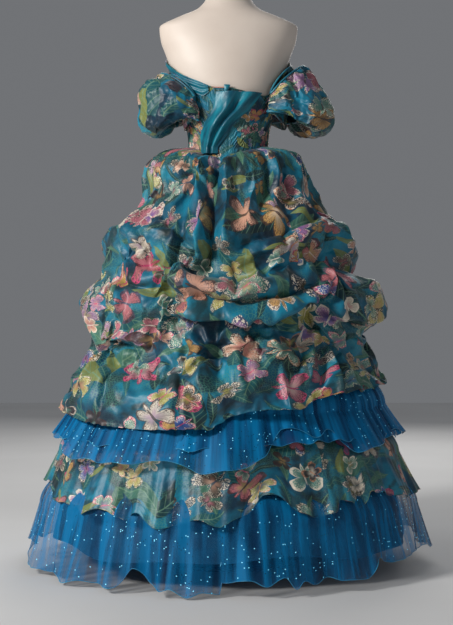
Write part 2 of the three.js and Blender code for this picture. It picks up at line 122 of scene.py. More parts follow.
def crease_noise(points: Array, size: float, seed: float) -> Array:
    """Crisp ridges as crumpled taffeta has them, from -1 to 1.

    Args:
        points: places in metres, with xyz in the last axis.
        size: the usual distance between two creases in metres.
        seed: moves the pattern to another place.

    Returns:
        One value for each place.
    """
    flat = points.reshape(-1, 3) / size + seed
    values = [1 - 2 * abs(noise.noise(Vector(p))) * 1.6 for p in flat]
    return np.array(values).reshape(points.shape[:-1])


def soft_noise(points: Array, size: float, seed: float) -> Array:
    """Soft rolling noise, from about -1 to 1, read as crease_noise is.

    Args:
        points: places in metres, with xyz in the last axis.
        size: the usual distance between two swells in metres.
        seed: moves the pattern to another place.

    Returns:
        One value for each place.
    """
    flat = points.reshape(-1, 3) / size + seed
    return np.array([noise.noise(Vector(p)) for p in flat]).reshape(points.shape[:-1])


# Sheets of cloth

Shape = Callable[[Array, Array], Array]
FlatMap = Callable[[Array, Array, Array], tuple[Array, Array]]


def grid_normals(points: Array, closed: bool) -> Array:
    """Outward unit normals of a grid of points whose columns run anticlockwise in plan.

    Args:
        points: rows from top to bottom, then columns, then xyz.
        closed: whether the last column lies on the first.

    Returns:
        Normals in the same layout.
    """
    if closed:
        ring = points[:, :-1]
        along = np.roll(ring, -1, axis=1) - np.roll(ring, 1, axis=1)
        along = np.concatenate([along, along[:, :1]], axis=1)
    else:
        along = np.gradient(points, axis=1)
    down = np.gradient(points, axis=0)
    normals = np.cross(down, along)
    return normals / np.maximum(np.linalg.norm(normals, axis=-1, keepdims=True), 1e-9)


def sheet_object(
    name: str,
    columns: int,
    rows: int,
    shape: Shape,
    flat_map: FlatMap,
    closed: bool = False,
    clockwise: bool = False,
) -> Object:
    """A sheet of cloth: a flat grid moved to its worn shape, with its flat cut as UVs in metres.

    Args:
        name: the piece's name.
        columns: faces across, running anticlockwise in plan.
        rows: faces from top to bottom.
        shape: gives the points of grids of u and v, rows first.
        flat_map: gives the flat place of (u, v) on the gore that holds the face's middle u.
        closed: whether the last column is sewn to the first.
        clockwise: whether the columns run clockwise in plan, so that its faces have to be turned.

    Returns:
        The new object, smooth shaded, at the origin.
    """
    grid = bmesh.new()
    bmesh.ops.create_grid(grid, x_segments=columns, y_segments=rows, size=0.5)
    mesh = bpy.data.meshes.new(name)
    grid.to_mesh(mesh)
    grid.free()
    count = len(mesh.vertices)
    places = np.empty(count * 3, np.float32)
    mesh.vertices.foreach_get("co", places)
    places = places.reshape(-1, 3)
    column = np.rint((places[:, 0] + 0.5) * columns).astype(int)
    row = np.rint((0.5 - places[:, 1]) * rows).astype(int)
    v, u = np.meshgrid(np.linspace(0, 1, rows + 1), np.linspace(0, 1, columns + 1), indexing="ij")
    points = shape(u, v)
    mesh.vertices.foreach_set("co", points[row, column].astype(np.float32).ravel())
    corners = np.empty(len(mesh.loops), np.int32)
    mesh.loops.foreach_get("vertex_index", corners)
    corner_u = column[corners] / columns
    corner_v = row[corners] / rows
    middle = np.repeat(corner_u.reshape(-1, 4).mean(axis=1), 4)
    across, along = flat_map(corner_u, corner_v, middle)
    layer = mesh.uv_layers.new(name="flat_cut")
    layer.data.foreach_set("uv", np.stack([across, along], axis=1).astype(np.float32).ravel())
    work = bmesh.new()
    work.from_mesh(mesh)
    if clockwise:
        bmesh.ops.reverse_faces(work, faces=work.faces)
    if closed:
        bmesh.ops.remove_doubles(work, verts=work.verts, dist=1e-6)
    for face in work.faces:
        face.smooth = True
    work.to_mesh(mesh)
    work.free()
    mesh.update()
    made = bpy.data.objects.new(name, mesh)
    bpy.context.scene.collection.objects.link(made)
    return made


def read_places(cloth: Object) -> Array:
    """The places of a piece's vertices, one row each.

    Args:
        cloth: the piece.

    Returns:
        The places in metres.
    """
    places = np.empty(len(cloth.data.vertices) * 3, np.float32)
    cloth.data.vertices.foreach_get("co", places)
    return places.reshape(-1, 3).astype(float)


def write_places(cloth: Object, places: Array) -> None:
    """Moves a piece's vertices to new places."""
    cloth.data.vertices.foreach_set("co", places.astype(np.float32).ravel())
    cloth.data.update()


def open_edges(cloth: Object) -> Array:
    """Marks with 1 the vertices that lie on a sheet's open edges, and the others with 0.

    Args:
        cloth: the sheet.

    Returns:
        One mark for each vertex.
    """
    work = bmesh.new()
    work.from_mesh(cloth.data)
    marks = np.array([float(vertex.is_boundary) for vertex in work.verts])
    work.free()
    return marks


def refine(cloth: Object) -> None:
    """Subdivides a settled sheet once, smoothly, and keeps the result as its mesh.

    Args:
        cloth: the sheet.
    """
    finer = cloth.modifiers.new("finer", "SUBSURF")
    finer.levels = finer.render_levels = 1
    graph = bpy.context.evaluated_depsgraph_get()
    made = bpy.data.meshes.new_from_object(cloth.evaluated_get(graph))
    cloth.modifiers.remove(finer)
    rough = cloth.data
    cloth.data = made
    bpy.data.meshes.remove(rough)
    made.name = cloth.name
    made.shade_smooth()


def crumple(cloth: Object, layers: Sequence[tuple[float, float, float]]) -> None:
    """Raises small crisp creases along a sheet's normals.

    Args:
        cloth: the sheet.
        layers: each layer's crease distance, height and seed.
    """
    places = read_places(cloth)
    normals = np.empty(len(places) * 3, np.float32)
    cloth.data.vertices.foreach_get("normal", normals)
    warp = soft_noise(places, 0.05, 2.5)[:, None] * 0.014
    drawn = (places + warp) * np.array([1.0, 1.0, 0.55])
    rise = sum(height * crease_noise(drawn, size, seed) for size, height, seed in layers)
    write_places(cloth, places + normals.reshape(-1, 3) * rise[:, None])


def edge_bead(name: str, line: Array, radius: float, sides: int = 6) -> Object:
    """A rolled hem or binding: a thin round bead that follows a closed edge line.

    Args:
        name: the piece's name.
        line: points once round, without the first point again at the end.
        radius: the bead's radius in metres.
        sides: faces around the bead.

    Returns:
        The new object, at the origin.
    """

    def shape(u: Array, v: Array) -> Array:
        """The tube round the line.

        Args:
            u: share of the way round the tube.
            v: share of the way along the line.

        Returns:
            Points with xyz in the last axis.
        """
        index = np.rint(v * len(line)).astype(int) % len(line)
        ahead = line[(index + 1) % len(line)] - line[index - 1]
        ahead = ahead / np.linalg.norm(ahead, axis=-1, keepdims=True)
        side = np.cross(ahead, np.array([0.0, 0.0, 1.0]))
        side = side / np.linalg.norm(side, axis=-1, keepdims=True)
        up = np.cross(side, ahead)
        turn = (2 * np.pi * u)[..., None]
        return line[index] + radius * (side * np.cos(turn) + up * np.sin(turn))

    def flat_map(u: Array, v: Array, _middle: Array) -> tuple[Array, Array]:
        """The bead unrolled."""
        return u * radius * 6, v * len(line) * 0.005

    return sheet_object(name, sides, len(line), shape, flat_map, closed=True)


def ride_and_dress(
    piece: Object,
    finish: Material,
    nodes: Sequence[str] = (),
) -> Object:
    """Puts a finish on a piece, hides the construction nodes that it stands for, and lets it ride.

    Args:
        piece: the finished piece.
        finish: its material.
        nodes: the construction nodes that it replaces.

    Returns:
        The piece.
    """
    piece.data.materials.append(finish)
    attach(piece, BODY)
    if nodes:
        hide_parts(*nodes)
    area = sum(face.area for face in piece.data.polygons)
    LOG.info("%s: %d faces, %.4f square metres", piece.name, len(piece.data.polygons), area)
    return piece


CLOTH_TERMS = {
    "quality": 5,
    "mass": 0.2,
    "tension_stiffness": 18,
    "compression_stiffness": 18,
    "shear_stiffness": 6,
    "tension_damping": 8,
    "compression_damping": 8,
    "shear_damping": 8,
    "pin_stiffness": 1.0,
}


@dataclass(frozen=True)
class Settling:
    """How a shaped sheet is let fall into its own folds before it is dressed.

    Attributes:
        frames: steps that the simulation runs.
        growth: how much bigger the cut is than the shape it starts from.
        hold: how firmly the sheet keeps to its shape away from its pinned places.
        gravity: share of the earth's pull.
        bending: how stiff the cloth is in bending.
        reach: the farthest that a point may move in metres.
    """

    frames: int
    growth: float
    hold: float
    gravity: float
    bending: float
    reach: float

    def settle(self, cloth: Object, pins: Array) -> None:
        """Runs the simulation and leaves its result in the mesh.

        Args:
            cloth: the sheet, with its final vertex order.
            pins: how firmly each vertex is held, from 0 to 1.
        """
        group = cloth.vertex_groups.new(name="held")
        firm = np.clip(np.maximum(pins, self.hold), 0, 1)
        for index, weight in enumerate(firm):
            group.add([index], float(weight), "REPLACE")
        start = np.empty(len(cloth.data.vertices) * 3, np.float32)
        cloth.data.vertices.foreach_get("co", start)
        modifier = cloth.modifiers.new("drape", "CLOTH")
        terms = modifier.settings
        for term, value in CLOTH_TERMS.items():
            setattr(terms, term, value)
        terms.bending_stiffness = self.bending
        terms.vertex_group_mass = "held"
        terms.shrink_min = -self.growth
        terms.effector_weights.gravity = self.gravity
        modifier.collision_settings.use_collision = False
        modifier.point_cache.frame_start = 1
        modifier.point_cache.frame_end = self.frames
        scene = bpy.context.scene
        for step in range(1, self.frames + 1):
            scene.frame_set(step)
        graph = bpy.context.evaluated_depsgraph_get()
        settled = cloth.evaluated_get(graph).to_mesh()
        end = np.empty_like(start)
        settled.vertices.foreach_get("co", end)
        cloth.evaluated_get(graph).to_mesh_clear()
        cloth.modifiers.remove(modifier)
        scene.frame_set(1)
        cloth.vertex_groups.remove(group)
        move = (end - start).reshape(-1, 3)
        far = np.linalg.norm(move, axis=1, keepdims=True)
        LOG.info("%s moved by %.4f m on average and %.4f m at most", cloth.name, far.mean(), far.max())
        move *= np.minimum(1, self.reach / np.maximum(far, 1e-9))
        cloth.data.vertices.foreach_set("co", (start.reshape(-1, 3) + move).ravel())
        cloth.data.update()


# Shapes that more than one piece follows

FORM_ROWS = (
    (850, 140, 94, 104), (868, 156, 106, 118), (930, 162, 110, 124), (990, 150, 106, 116),
    (1060, 123, 96, 98), (1126, 104, 86, 85), (1190, 111, 92, 89), (1230, 121, 100, 94),
    (1290, 140, 116, 100), (1340, 158, 120, 102), (1380, 172, 110, 98), (1420, 186, 94, 92),
    (1456, 190, 78, 82), (1482, 143, 68, 76), (1505, 88, 62, 68), (1533, 63, 55, 58), (1572, 54, 47, 49),
    (1580, 40, 34, 36),
)
NECKLINE = (
    (-90, 1274), (-67, 1263), (-45, 1256), (-25, 1290), (-10, 1333), (0, 1352), (25, 1374), (60, 1382),
    (90, 1370), (120, 1382), (155, 1378), (180, 1362), (200, 1340), (215, 1318), (236, 1294), (254, 1276),
    (270, 1274),
)
WAIST_SEAM = (
    (-90, 1086), (-70, 1106), (-40, 1118), (0, 1126), (60, 1120), (90, 1108), (120, 1120), (180, 1126),
    (220, 1116), (236, 1098), (248, 1072), (270, 1086),
)
WAIST_Z = 1.126
BODICE_OFFSET = 0.006


def table_column(rows: Sequence[Sequence[float]], column: int, z: Array) -> Array:
    """Reads one column of a table in millimetres at heights in metres.

    Args:
        rows: rows with rising heights in their first column.
        column: the column to read.
        z: heights in metres.

    Returns:
        The column's values, still in the table's unit.
    """
    return smooth_curve([row[0] for row in rows], [row[column] for row in rows], z / MM)


def body_place(angle: Array, z: Array, offset: Array | float) -> Array:
    """A place at a distance outside the dress form.

    Args:
        angle: plan angles in degrees.
        z: heights in metres.
        offset: distance outside the form in metres.

    Returns:
        Points with xyz in the last axis.
    """
    turn = np.radians(angle)
    width = table_column(FORM_ROWS, 1, z) * MM
    front = table_column(FORM_ROWS, 2, z) * MM
    back = table_column(FORM_ROWS, 3, z) * MM
    depth = np.where(np.sin(turn) > 0, front, back)
    across = (width + offset) * np.cos(turn)
    return np.stack([across, (depth + offset) * np.sin(turn), z + 0 * across], axis=-1)


def oval_place(angle: Array, z: Array, sides: tuple[Array, Array], ratio: Array, out: Array) -> Array:
    """A place on an oval skirt whose left and right sides reach differently far.

    Args:
        angle: plan angles in degrees.
        z: heights in metres.
        sides: the reach to the left and to the right, in metres.
        ratio: the oval's depth over its width.
        out: extra reach in metres.

    Returns:
        Points with xyz in the last axis.
    """
    left, right = sides
    turn = np.radians(angle)
    mean = (left + right) / 2
    width = mean + (right - left) / 2 * np.cos(turn) + out
    depth = mean * ratio + out
    across = width * np.cos(turn)
    return np.stack([across, depth * np.sin(turn), z + 0 * across], axis=-1)


def gore_map(reach: float, length: float, start: float) -> FlatMap:
    """Flat places for a ring of gores: each gore keeps the print's real scale about its middle.

    Args:
        reach: the ring's usual radius in metres.
        length: the cloth's length from top to bottom in metres.
        start: where the cut begins on the printed cloth, in metres.

    Returns:
        The function that a sheet takes its flat cut from.
    """

    def flat_map(u: Array, v: Array, middle: Array) -> tuple[Array, Array]:
        """Flat places of (u, v) on the gore that holds the middle.

        Args:
            u: share of the way round.
            v: share of the way down.
            middle: where the face's middle lies, as u does.

        Returns:
            The places across and along the cloth in metres.
        """
        gore = np.floor(middle * GORE_COUNT + 0.35)
        centre = (gore + 0.15) / GORE_COUNT
        across = (u - centre) * 2 * np.pi * reach
        return across + gore * 1.37 + start, (1 - v) * length + gore * 0.83 + start

    return flat_map


# Shader wiring

Input = bpy.types.NodeSocket | float | tuple
Socket = bpy.types.NodeSocket
Colour = tuple[float, float, float, float]


def srgb(red: int, green: int, blue: int) -> Colour:
    """A dyer's colour as red, green and blue out of 255, made linear for the shader.

    Args:
        red: its red.
        green: its green.
        blue: its blue.

    Returns:
        The linear colour, opaque.
    """
    parts = [channel / 255 for channel in (red, green, blue)]
    linear = [p / 12.92 if p <= 0.04045 else ((p + 0.055) / 1.055) ** 2.4 for p in parts]
    return (linear[0], linear[1], linear[2], 1.0)


class Wiring:
    """Adds shader nodes to one tree and joins them."""

    def __init__(self, tree: Tree) -> None:
        """Keeps the tree that nodes are added to."""
        self.tree = tree

    def node(self, kind: str, settings: dict | None = None, **inputs: Input) -> Node:
        """Adds a node.

        Args:
            kind: the node's type name.
            settings: its properties.
            inputs: a value or a socket for each named input, with _ for a space.

        Returns:
            The node.
        """
        made = self.tree.nodes.new(kind)
        for name, setting in (settings or {}).items():
            setattr(made, name, setting)
        for name, value in inputs.items():
            self.feed(made.inputs[name.replace("_", " ")], value)
        return made

    def feed(self, socket: Socket, value: Input) -> None:
        """Joins a socket to another, or sets its constant.

        Args:
            socket: the socket to feed.
            value: another socket or a constant.
        """
        if isinstance(value, Socket):
            self.tree.links.new(value, socket)
        else:
            socket.default_value = value

    def math(self, operation: str, *values: Input) -> Socket:
        """Adds a Math node and returns its result.

        Args:
            operation: what it works out.
            values: its inputs in order.

        Returns:
            Its result.
        """
        made = self.node("ShaderNodeMath", {"operation": operation})
        for socket, value in zip(made.inputs, values):
            self.feed(socket, value)
        return made.outputs[0]

    def times(self, first: Input, second: Input) -> Socket:
        """The product of two numbers."""
        return self.math("MULTIPLY", first, second)

    def rest(self, value: Input) -> Socket:
        """What is left of 1 after a number is taken away."""
        return self.math("SUBTRACT", 1.0, value)

    def vector(self, operation: str, *values: Input) -> Socket:
        """Adds a Vector Math node and returns its vector result.

        Args:
            operation: what it works out.
            values: its two inputs.

        Returns:
            Its vector result.
        """
        made = self.node("ShaderNodeVectorMath", {"operation": operation})
        sockets = [made.inputs["Scale"]] if operation == "SCALE" else [made.inputs[1]]
        for socket, value in zip([made.inputs[0], *sockets], values):
            self.feed(socket, value)
        return made.outputs["Vector"]

    def mix(self, factor: Input, first: Input, second: Input) -> Socket:
        """Blends two colours and returns the colour.

        Args:
            factor: share of the second.
            first: one colour.
            second: the other colour.

        Returns:
            The blend.
        """
        made = self.node("ShaderNodeMix", {"data_type": "RGBA"})
        self.feed(made.inputs["Factor"], factor)
        self.feed(made.inputs[6], first)
        self.feed(made.inputs[7], second)
        return made.outputs[2]

    def ramp(
        self, factor: Input, stops: Sequence[tuple[float, Colour]], steps: bool = False
    ) -> Socket:
        """Reads a colour ramp.

        Args:
            factor: where to read it.
            stops: places with their colours.
            steps: whether each colour holds until the next place.

        Returns:
            The colour.
        """
        made = self.node("ShaderNodeValToRGB", Fac=factor)
        band = made.color_ramp
        band.interpolation = "CONSTANT" if steps else "LINEAR"
        while len(band.elements) < len(stops):
            band.elements.new(0.5)
        for element, (place, colour) in zip(band.elements, stops):
            element.position = place
            element.color = colour
        return made.outputs["Color"]

    def step(self, value: Input, low: float, high: float) -> Socket:
        """A soft step that goes from 0 at low to 1 at high.

        Args:
            value: what is read.
            low: where the step starts.
            high: where it ends.

        Returns:
            The step.
        """
        made = self.node("ShaderNodeMapRange", {"interpolation_type": "SMOOTHSTEP"}, Value=value)
        made.inputs["From Min"].default_value = low
        made.inputs["From Max"].default_value = high
        return made.outputs["Result"]

    def noise(self, place: Input, scale: float, detail: float = 2.0, flat: bool = False) -> Socket:
        """Reads a noise texture's value at a place, on the plane when flat.

        Args:
            place: where to read it.
            scale: swells to a metre.
            detail: how many finer layers it adds.
            flat: whether only x and y count.

        Returns:
            The value.
        """
        settings = {"noise_dimensions": "2D" if flat else "3D"}
        made = self.node("ShaderNodeTexNoise", settings, Vector=place, Scale=scale, Detail=detail)
        return made.outputs["Fac"]

    def flat_cut(self) -> Socket:
        """Places on a sheet's flat cut in metres."""
        return self.node("ShaderNodeUVMap", {"uv_map": "flat_cut"}).outputs["UV"]

    def voronoi(self, place: Input, scale: float, space: str = "2D", **settings: str) -> Node:
        """Adds a Voronoi texture.

        Args:
            place: where to read it.
            scale: cells to a metre.
            space: 2D or 3D.
            settings: its other properties.

        Returns:
            The node.
        """
        options = {"voronoi_dimensions": space, **settings}
        return self.node("ShaderNodeTexVoronoi", options, Vector=place, Scale=scale)

    def parts(self, vector: Input) -> tuple[Socket, Socket]:
        """The x and y of a vector."""
        made = self.node("ShaderNodeSeparateXYZ", Vector=vector)
        return made.outputs["X"], made.outputs["Y"]

    def join(self, x: Input, y: Input) -> Socket:
        """A vector from its x and y."""
        return self.node("ShaderNodeCombineXYZ", X=x, Y=y).outputs["Vector"]


def new_group(name: str, takes: Sequence[str], gives: Sequence[str]) -> tuple[Wiring, dict, Node]:
    """Starts a shader node group.

    Args:
        name: the group's name.
        takes: its inputs; Vector is a vector and the rest are numbers.
        gives: its outputs, all numbers.

    Returns:
        The wiring, the inputs by name and the group's output node.
    """
    tree = bpy.data.node_groups.new(name, "ShaderNodeTree")
    for label in takes:
        kind = "NodeSocketVector" if label == "Vector" else "NodeSocketFloat"
        tree.interface.new_socket(label, in_out="INPUT", socket_type=kind)
    for label in gives:
        tree.interface.new_socket(label, in_out="OUTPUT", socket_type="NodeSocketFloat")
    start = tree.nodes.new("NodeGroupInput")
    end = tree.nodes.new("NodeGroupOutput")
    return Wiring(tree), {label: start.outputs[label] for label in takes}, end


def scattered_cells(w: Wiring, inputs: dict) -> tuple[Socket, Node]:
    """Strews turned motifs over flat cloth, one to a cell.

    Args:
        w: the group's wiring.
        inputs: the group's Vector, Cell and Seed.

    Returns:
        The place within the turned motif in cells, and the node of its random numbers.
    """
    cell = w.node("ShaderNodeCombineXYZ", X=inputs["Cell"], Y=inputs["Cell"], Z=1.0)
    scaled = w.vector("DIVIDE", inputs["Vector"], cell.outputs[0])
    shifted = w.vector("ADD", scaled, w.join(inputs["Seed"], inputs["Seed"]))
    cells = w.voronoi(shifted, 1.0)
    cells.inputs["Randomness"].default_value = 0.8
    picks = w.node("ShaderNodeSeparateColor", Color=cells.outputs["Color"])
    local = w.vector("SUBTRACT", shifted, cells.outputs["Position"])
    turn = w.times(picks.outputs[0], 2 * math.pi)
    spun = w.node("ShaderNodeVectorRotate", {"rotation_type": "Z_AXIS"}, Vector=local, Angle=turn)
    return spun.outputs["Vector"], picks


def butterfly_scatter() -> Tree:
    """Butterflies of one size strewn over the cloth: two pairs of wings with rim, veins and spots.

    Returns:
        The group.
    """
    takes = ("Vector", "Cell", "Seed", "Presence")
    gives = ("Mask", "Rim", "Veins", "Spots", "Depth", "Pick", "Second Pick")
    w, inputs, end = new_group("butterfly_scatter", takes, gives)
    local, picks = scattered_cells(w, inputs)
    wobble = w.times(w.math("SUBTRACT", w.noise(local, 6.0, 1.0), 0.5), 0.025)
    x, y = w.parts(local)
    side = w.math("ADD", w.math("ABSOLUTE", x), wobble)
    away = w.math("SQRT", w.math("ADD", w.times(side, side), w.times(y, y)))
    bearing = w.math("ARCTAN2", y, side)
    fore = w.math("COSINE", w.times(w.math("SUBTRACT", bearing, 0.66), 2.35))
    hind = w.math("COSINE", w.times(w.math("ADD", bearing, 0.66), 2.15))
    fore = w.times(w.math("POWER", w.math("MAXIMUM", fore, 0.0), 0.42), 0.47)
    hind = w.times(w.math("POWER", w.math("MAXIMUM", hind, 0.0), 0.45), 0.36)
    scallop = w.math("MULTIPLY_ADD", w.math("COSINE", w.times(bearing, 19.0)), 0.018, 1.0)
    reach = w.times(w.math("MAXIMUM", w.math("MAXIMUM", fore, hind), 0.001), scallop)
    depth = w.math("DIVIDE", away, reach)
    wing = w.rest(w.step(depth, 0.96, 1.0))
    there = w.math("LESS_THAN", picks.outputs[1], inputs["Presence"])
    body_x = w.math("DIVIDE", side, 0.022)
    body_y = w.math("DIVIDE", y, 0.17)
    body = w.math("LESS_THAN", w.math("ADD", w.times(body_x, body_x), w.times(body_y, body_y)), 1.0)
    mask = w.times(w.math("MAXIMUM", wing, body), there)
    notch = w.math("ABSOLUTE", w.math("SUBTRACT", fore, hind))
    parting = w.rest(w.step(notch, 0.0, 0.02))
    rim = w.math("MAXIMUM", w.math("MAXIMUM", w.step(depth, 0.74, 0.86), w.times(parting, 0.8)), body)
    ribs = w.math("ABSOLUTE", w.math("SINE", w.math("MULTIPLY_ADD", bearing, 9.0, w.times(depth, 1.2))))
    veins = w.times(w.rest(w.step(ribs, 0.05, 0.2)), w.step(depth, 0.15, 0.4))
    dots = w.math("SINE", w.times(bearing, 22.0))
    ring = w.rest(w.times(w.math("ABSOLUTE", w.math("SUBTRACT", depth, 0.88)), 14.0))
    speckle = w.voronoi(local, 34.0)
    grain = w.math("LESS_THAN", speckle.outputs["Distance"], 0.3)
    inner = w.times(grain, w.step(depth, 0.35, 0.7))
    spots = w.math("MAXIMUM", w.times(w.step(dots, 0.3, 0.7), w.step(ring, 0.1, 0.5)), inner)
    results = (mask, rim, veins, spots, depth, picks.outputs[2], picks.outputs[1])
    for label, value in zip(gives, results):
        w.feed(end.inputs[label], value)
    return w.tree


def leaf_scatter() -> Tree:
    """Leaves of one size strewn over the cloth, with a midrib and a net of side veins.

    Returns:
        The group.
    """
    takes = ("Vector", "Cell", "Seed", "Presence", "Slimness")
    gives = ("Mask", "Veins", "Pick")
    w, inputs, end = new_group("leaf_scatter", takes, gives)
    local, picks = scattered_cells(w, inputs)
    x, y = w.parts(local)
    bent = w.math("ADD", x, w.times(w.times(y, y), 0.35))
    along = w.times(y, 2.0)
    swell = w.rest(w.times(along, along))
    width = w.times(w.math("MAXIMUM", swell, 0.0), inputs["Slimness"])
    edge = w.math("SUBTRACT", width, w.math("ABSOLUTE", bent))
    there = w.math("LESS_THAN", picks.outputs[1], inputs["Presence"])
    mask = w.times(w.step(edge, 0.0, 0.012), there)
    slant = w.math("SUBTRACT", w.times(y, 1.0), w.times(w.math("ABSOLUTE", bent), 0.9))
    ribs = w.math("ABSOLUTE", w.math("SINE", w.times(slant, 36.0)))
    midrib = w.rest(w.step(w.math("ABSOLUTE", bent), 0.004, 0.014))
    veins = w.math("MAXIMUM", midrib, w.times(w.rest(w.step(ribs, 0.08, 0.3)), 0.8))
    for label, value in zip(gives, (mask, veins, picks.outputs[2])):
        w.feed(end.inputs[label], value)
    return w.tree


def crinkle() -> Tree:
    """The fine crushed creases and the close weave of crisp taffeta, as a height in metres.

    Returns:
        The group.
    """
    w, inputs, end = new_group("crinkle", ("Vector", "Depth", "Weave"), ("Height",))
    settings = {"noise_dimensions": "3D"}
    bent = w.node("ShaderNodeTexNoise", settings, Vector=inputs["Vector"], Scale=14.0, Detail=1.0)
    warped = w.vector("ADD", inputs["Vector"], w.vector("SCALE", bent.outputs["Color"], 0.03))
    cells = w.voronoi(warped, 42.0, "3D")
    small = w.voronoi(warped, 115.0, "3D")
    crush = w.math("ADD", cells.outputs["Distance"], w.times(small.outputs["Distance"], 0.35))
    x, y = w.parts(inputs["Vector"])
    warp_yarn = w.math("SINE", w.times(x, 2 * math.pi / 0.0006))
    weft_yarn = w.math("SINE", w.times(y, 2 * math.pi / 0.0005))
    yarn = w.times(w.times(warp_yarn, weft_yarn), inputs["Weave"])
    w.feed(end.inputs["Height"], w.math("ADD", w.times(crush, inputs["Depth"]), yarn))
    return w.tree


def glitter() -> Tree:
    """Sparse round flecks strewn over sheer cloth, one mask of bright flecks, which carry painted glints, and
    one of dark flecks.

    Returns:
        The group.
    """
    w, inputs, end = new_group("glitter", ("Vector", "Seed"), ("Bright", "Dark"))
    place = w.vector("ADD", inputs["Vector"], w.join(inputs["Seed"], inputs["Seed"]))
    patch = w.step(w.noise(place, 9.0, 1.0, flat=True), 0.42, 0.62)
    # Bright marks the flecks that get a painted glint; Dark marks the dark flecks.
    for label, scale, share in (("Bright", 215.0, 0.03), ("Dark", 230.0, 0.05)):
        cells = w.voronoi(place, scale)
        pick = w.node("ShaderNodeSeparateColor", Color=cells.outputs["Color"]).outputs[0]
        chosen = w.math("LESS_THAN", pick, w.times(w.math("ADD", patch, 0.25), share))
        fleck = w.rest(w.step(cells.outputs["Distance"], 0.2, 0.34))
        w.feed(end.inputs[label], w.times(fleck, chosen))
    return w.tree


@dataclass(frozen=True)
class Effects:
    """The node groups that the finishes share."""

    butterflies: Tree
    leaves: Tree
    crinkle: Tree
    glitter: Tree

    @classmethod
    def build(cls) -> "Effects":
        """Makes every shared group once."""
        return cls(butterfly_scatter(), leaf_scatter(), crinkle(), glitter())


def effect(w: Wiring, tree: Tree, **inputs: Input) -> Node:
    """Places a shared group in a material with its own values.

    Args:
        w: the material's wiring.
        tree: the group.
        inputs: a value or a socket for each input, with _ for a space.

    Returns:
        Its node.
    """
    made = w.node("ShaderNodeGroup", {"node_tree": tree})
    for name, value in inputs.items():
        w.feed(made.inputs[name.replace("_", " ")], value)
    return made


def new_material(name: str) -> tuple[Material, Wiring, Node]:
    """Starts a material.

    Args:
        name: the material's name.

    Returns:
        The material, its wiring and its Principled shader.
    """
    made = bpy.data.materials.new(name)
    made.use_nodes = True
    return made, Wiring(made.node_tree), made.node_tree.nodes["Principled BSDF"]


def set_shader(shader: Node, **values: object) -> None:
    """Sets constants on the shader's own sockets, with _ for a space."""
    for name, value in values.items():
        shader.inputs[name.replace("_", " ")].default_value = value


def add_bump(w: Wiring, shader: Node, height: Input, strength: float = 1.0) -> None:
    """Raises the shader's surface by a height in metres."""
    bump_node = w.node("ShaderNodeBump", Strength=strength, Distance=1.0, Height=height)
    w.feed(shader.inputs["Normal"], bump_node.outputs["Normal"])


def add_crinkle(
    w: Wiring, shader: Node, effects: Effects, flat: Input, crush: float
) -> None:
    """Raises the crushed creases and the weave of taffeta on a shader.

    Args:
        w: the material's wiring.
        shader: its Principled shader.
        effects: the shared groups.
        flat: places on the flat cut.
        crush: depth of the creases in metres.
    """
    folds = effect(w, effects.crinkle, Vector=flat, Depth=crush, Weave=WEAVE_HEIGHT)
    add_bump(w, shader, folds.outputs["Height"], 0.6)


# Finishes

TEAL = srgb(0, 96, 124)
TEAL_DEEP = srgb(0, 44, 66)
TEAL_LIGHT = srgb(0, 134, 164)
LEAF_GREEN = srgb(64, 112, 92)
LEAF_DARK = srgb(8, 44, 46)
WING_COLOURS = tuple(
    srgb(*dye)
    for dye in (
        (214, 128, 142), (220, 164, 138), (178, 170, 84), (214, 202, 184), (200, 152, 84),
        (160, 112, 160), (44, 78, 150), (186, 104, 110), (44, 34, 36), (96, 148, 132), (40, 32, 38),
    )
)
RIM_COLOURS = tuple(
    srgb(*dye)
    for dye in (
        (40, 26, 28), (214, 62, 118), (240, 226, 208), (60, 40, 34), (206, 136, 96), (30, 60, 88),
    )
)
VEIN_DARK = srgb(70, 40, 44)
SPOT_CREAM = srgb(246, 232, 208)
AZURE = srgb(0, 118, 174)
AZURE_DEEP = srgb(0, 62, 108)


def colour_steps(colours: Sequence[Colour]) -> list[tuple[float, Colour]]:
    """Even steps for a ramp that holds each colour."""
    return [(index / len(colours), colour) for index, colour in enumerate(colours)]


@dataclass(frozen=True)
class MotifLayer:
    """One size of printed butterfly or leaf."""

    cell: float
    seed: float
    presence: float
    slimness: float = 0.0

    def inputs(self) -> dict[str, float]:
        """The values that both kinds of motif take."""
        return {"Cell": self.cell, "Seed": self.seed, "Presence": self.presence}


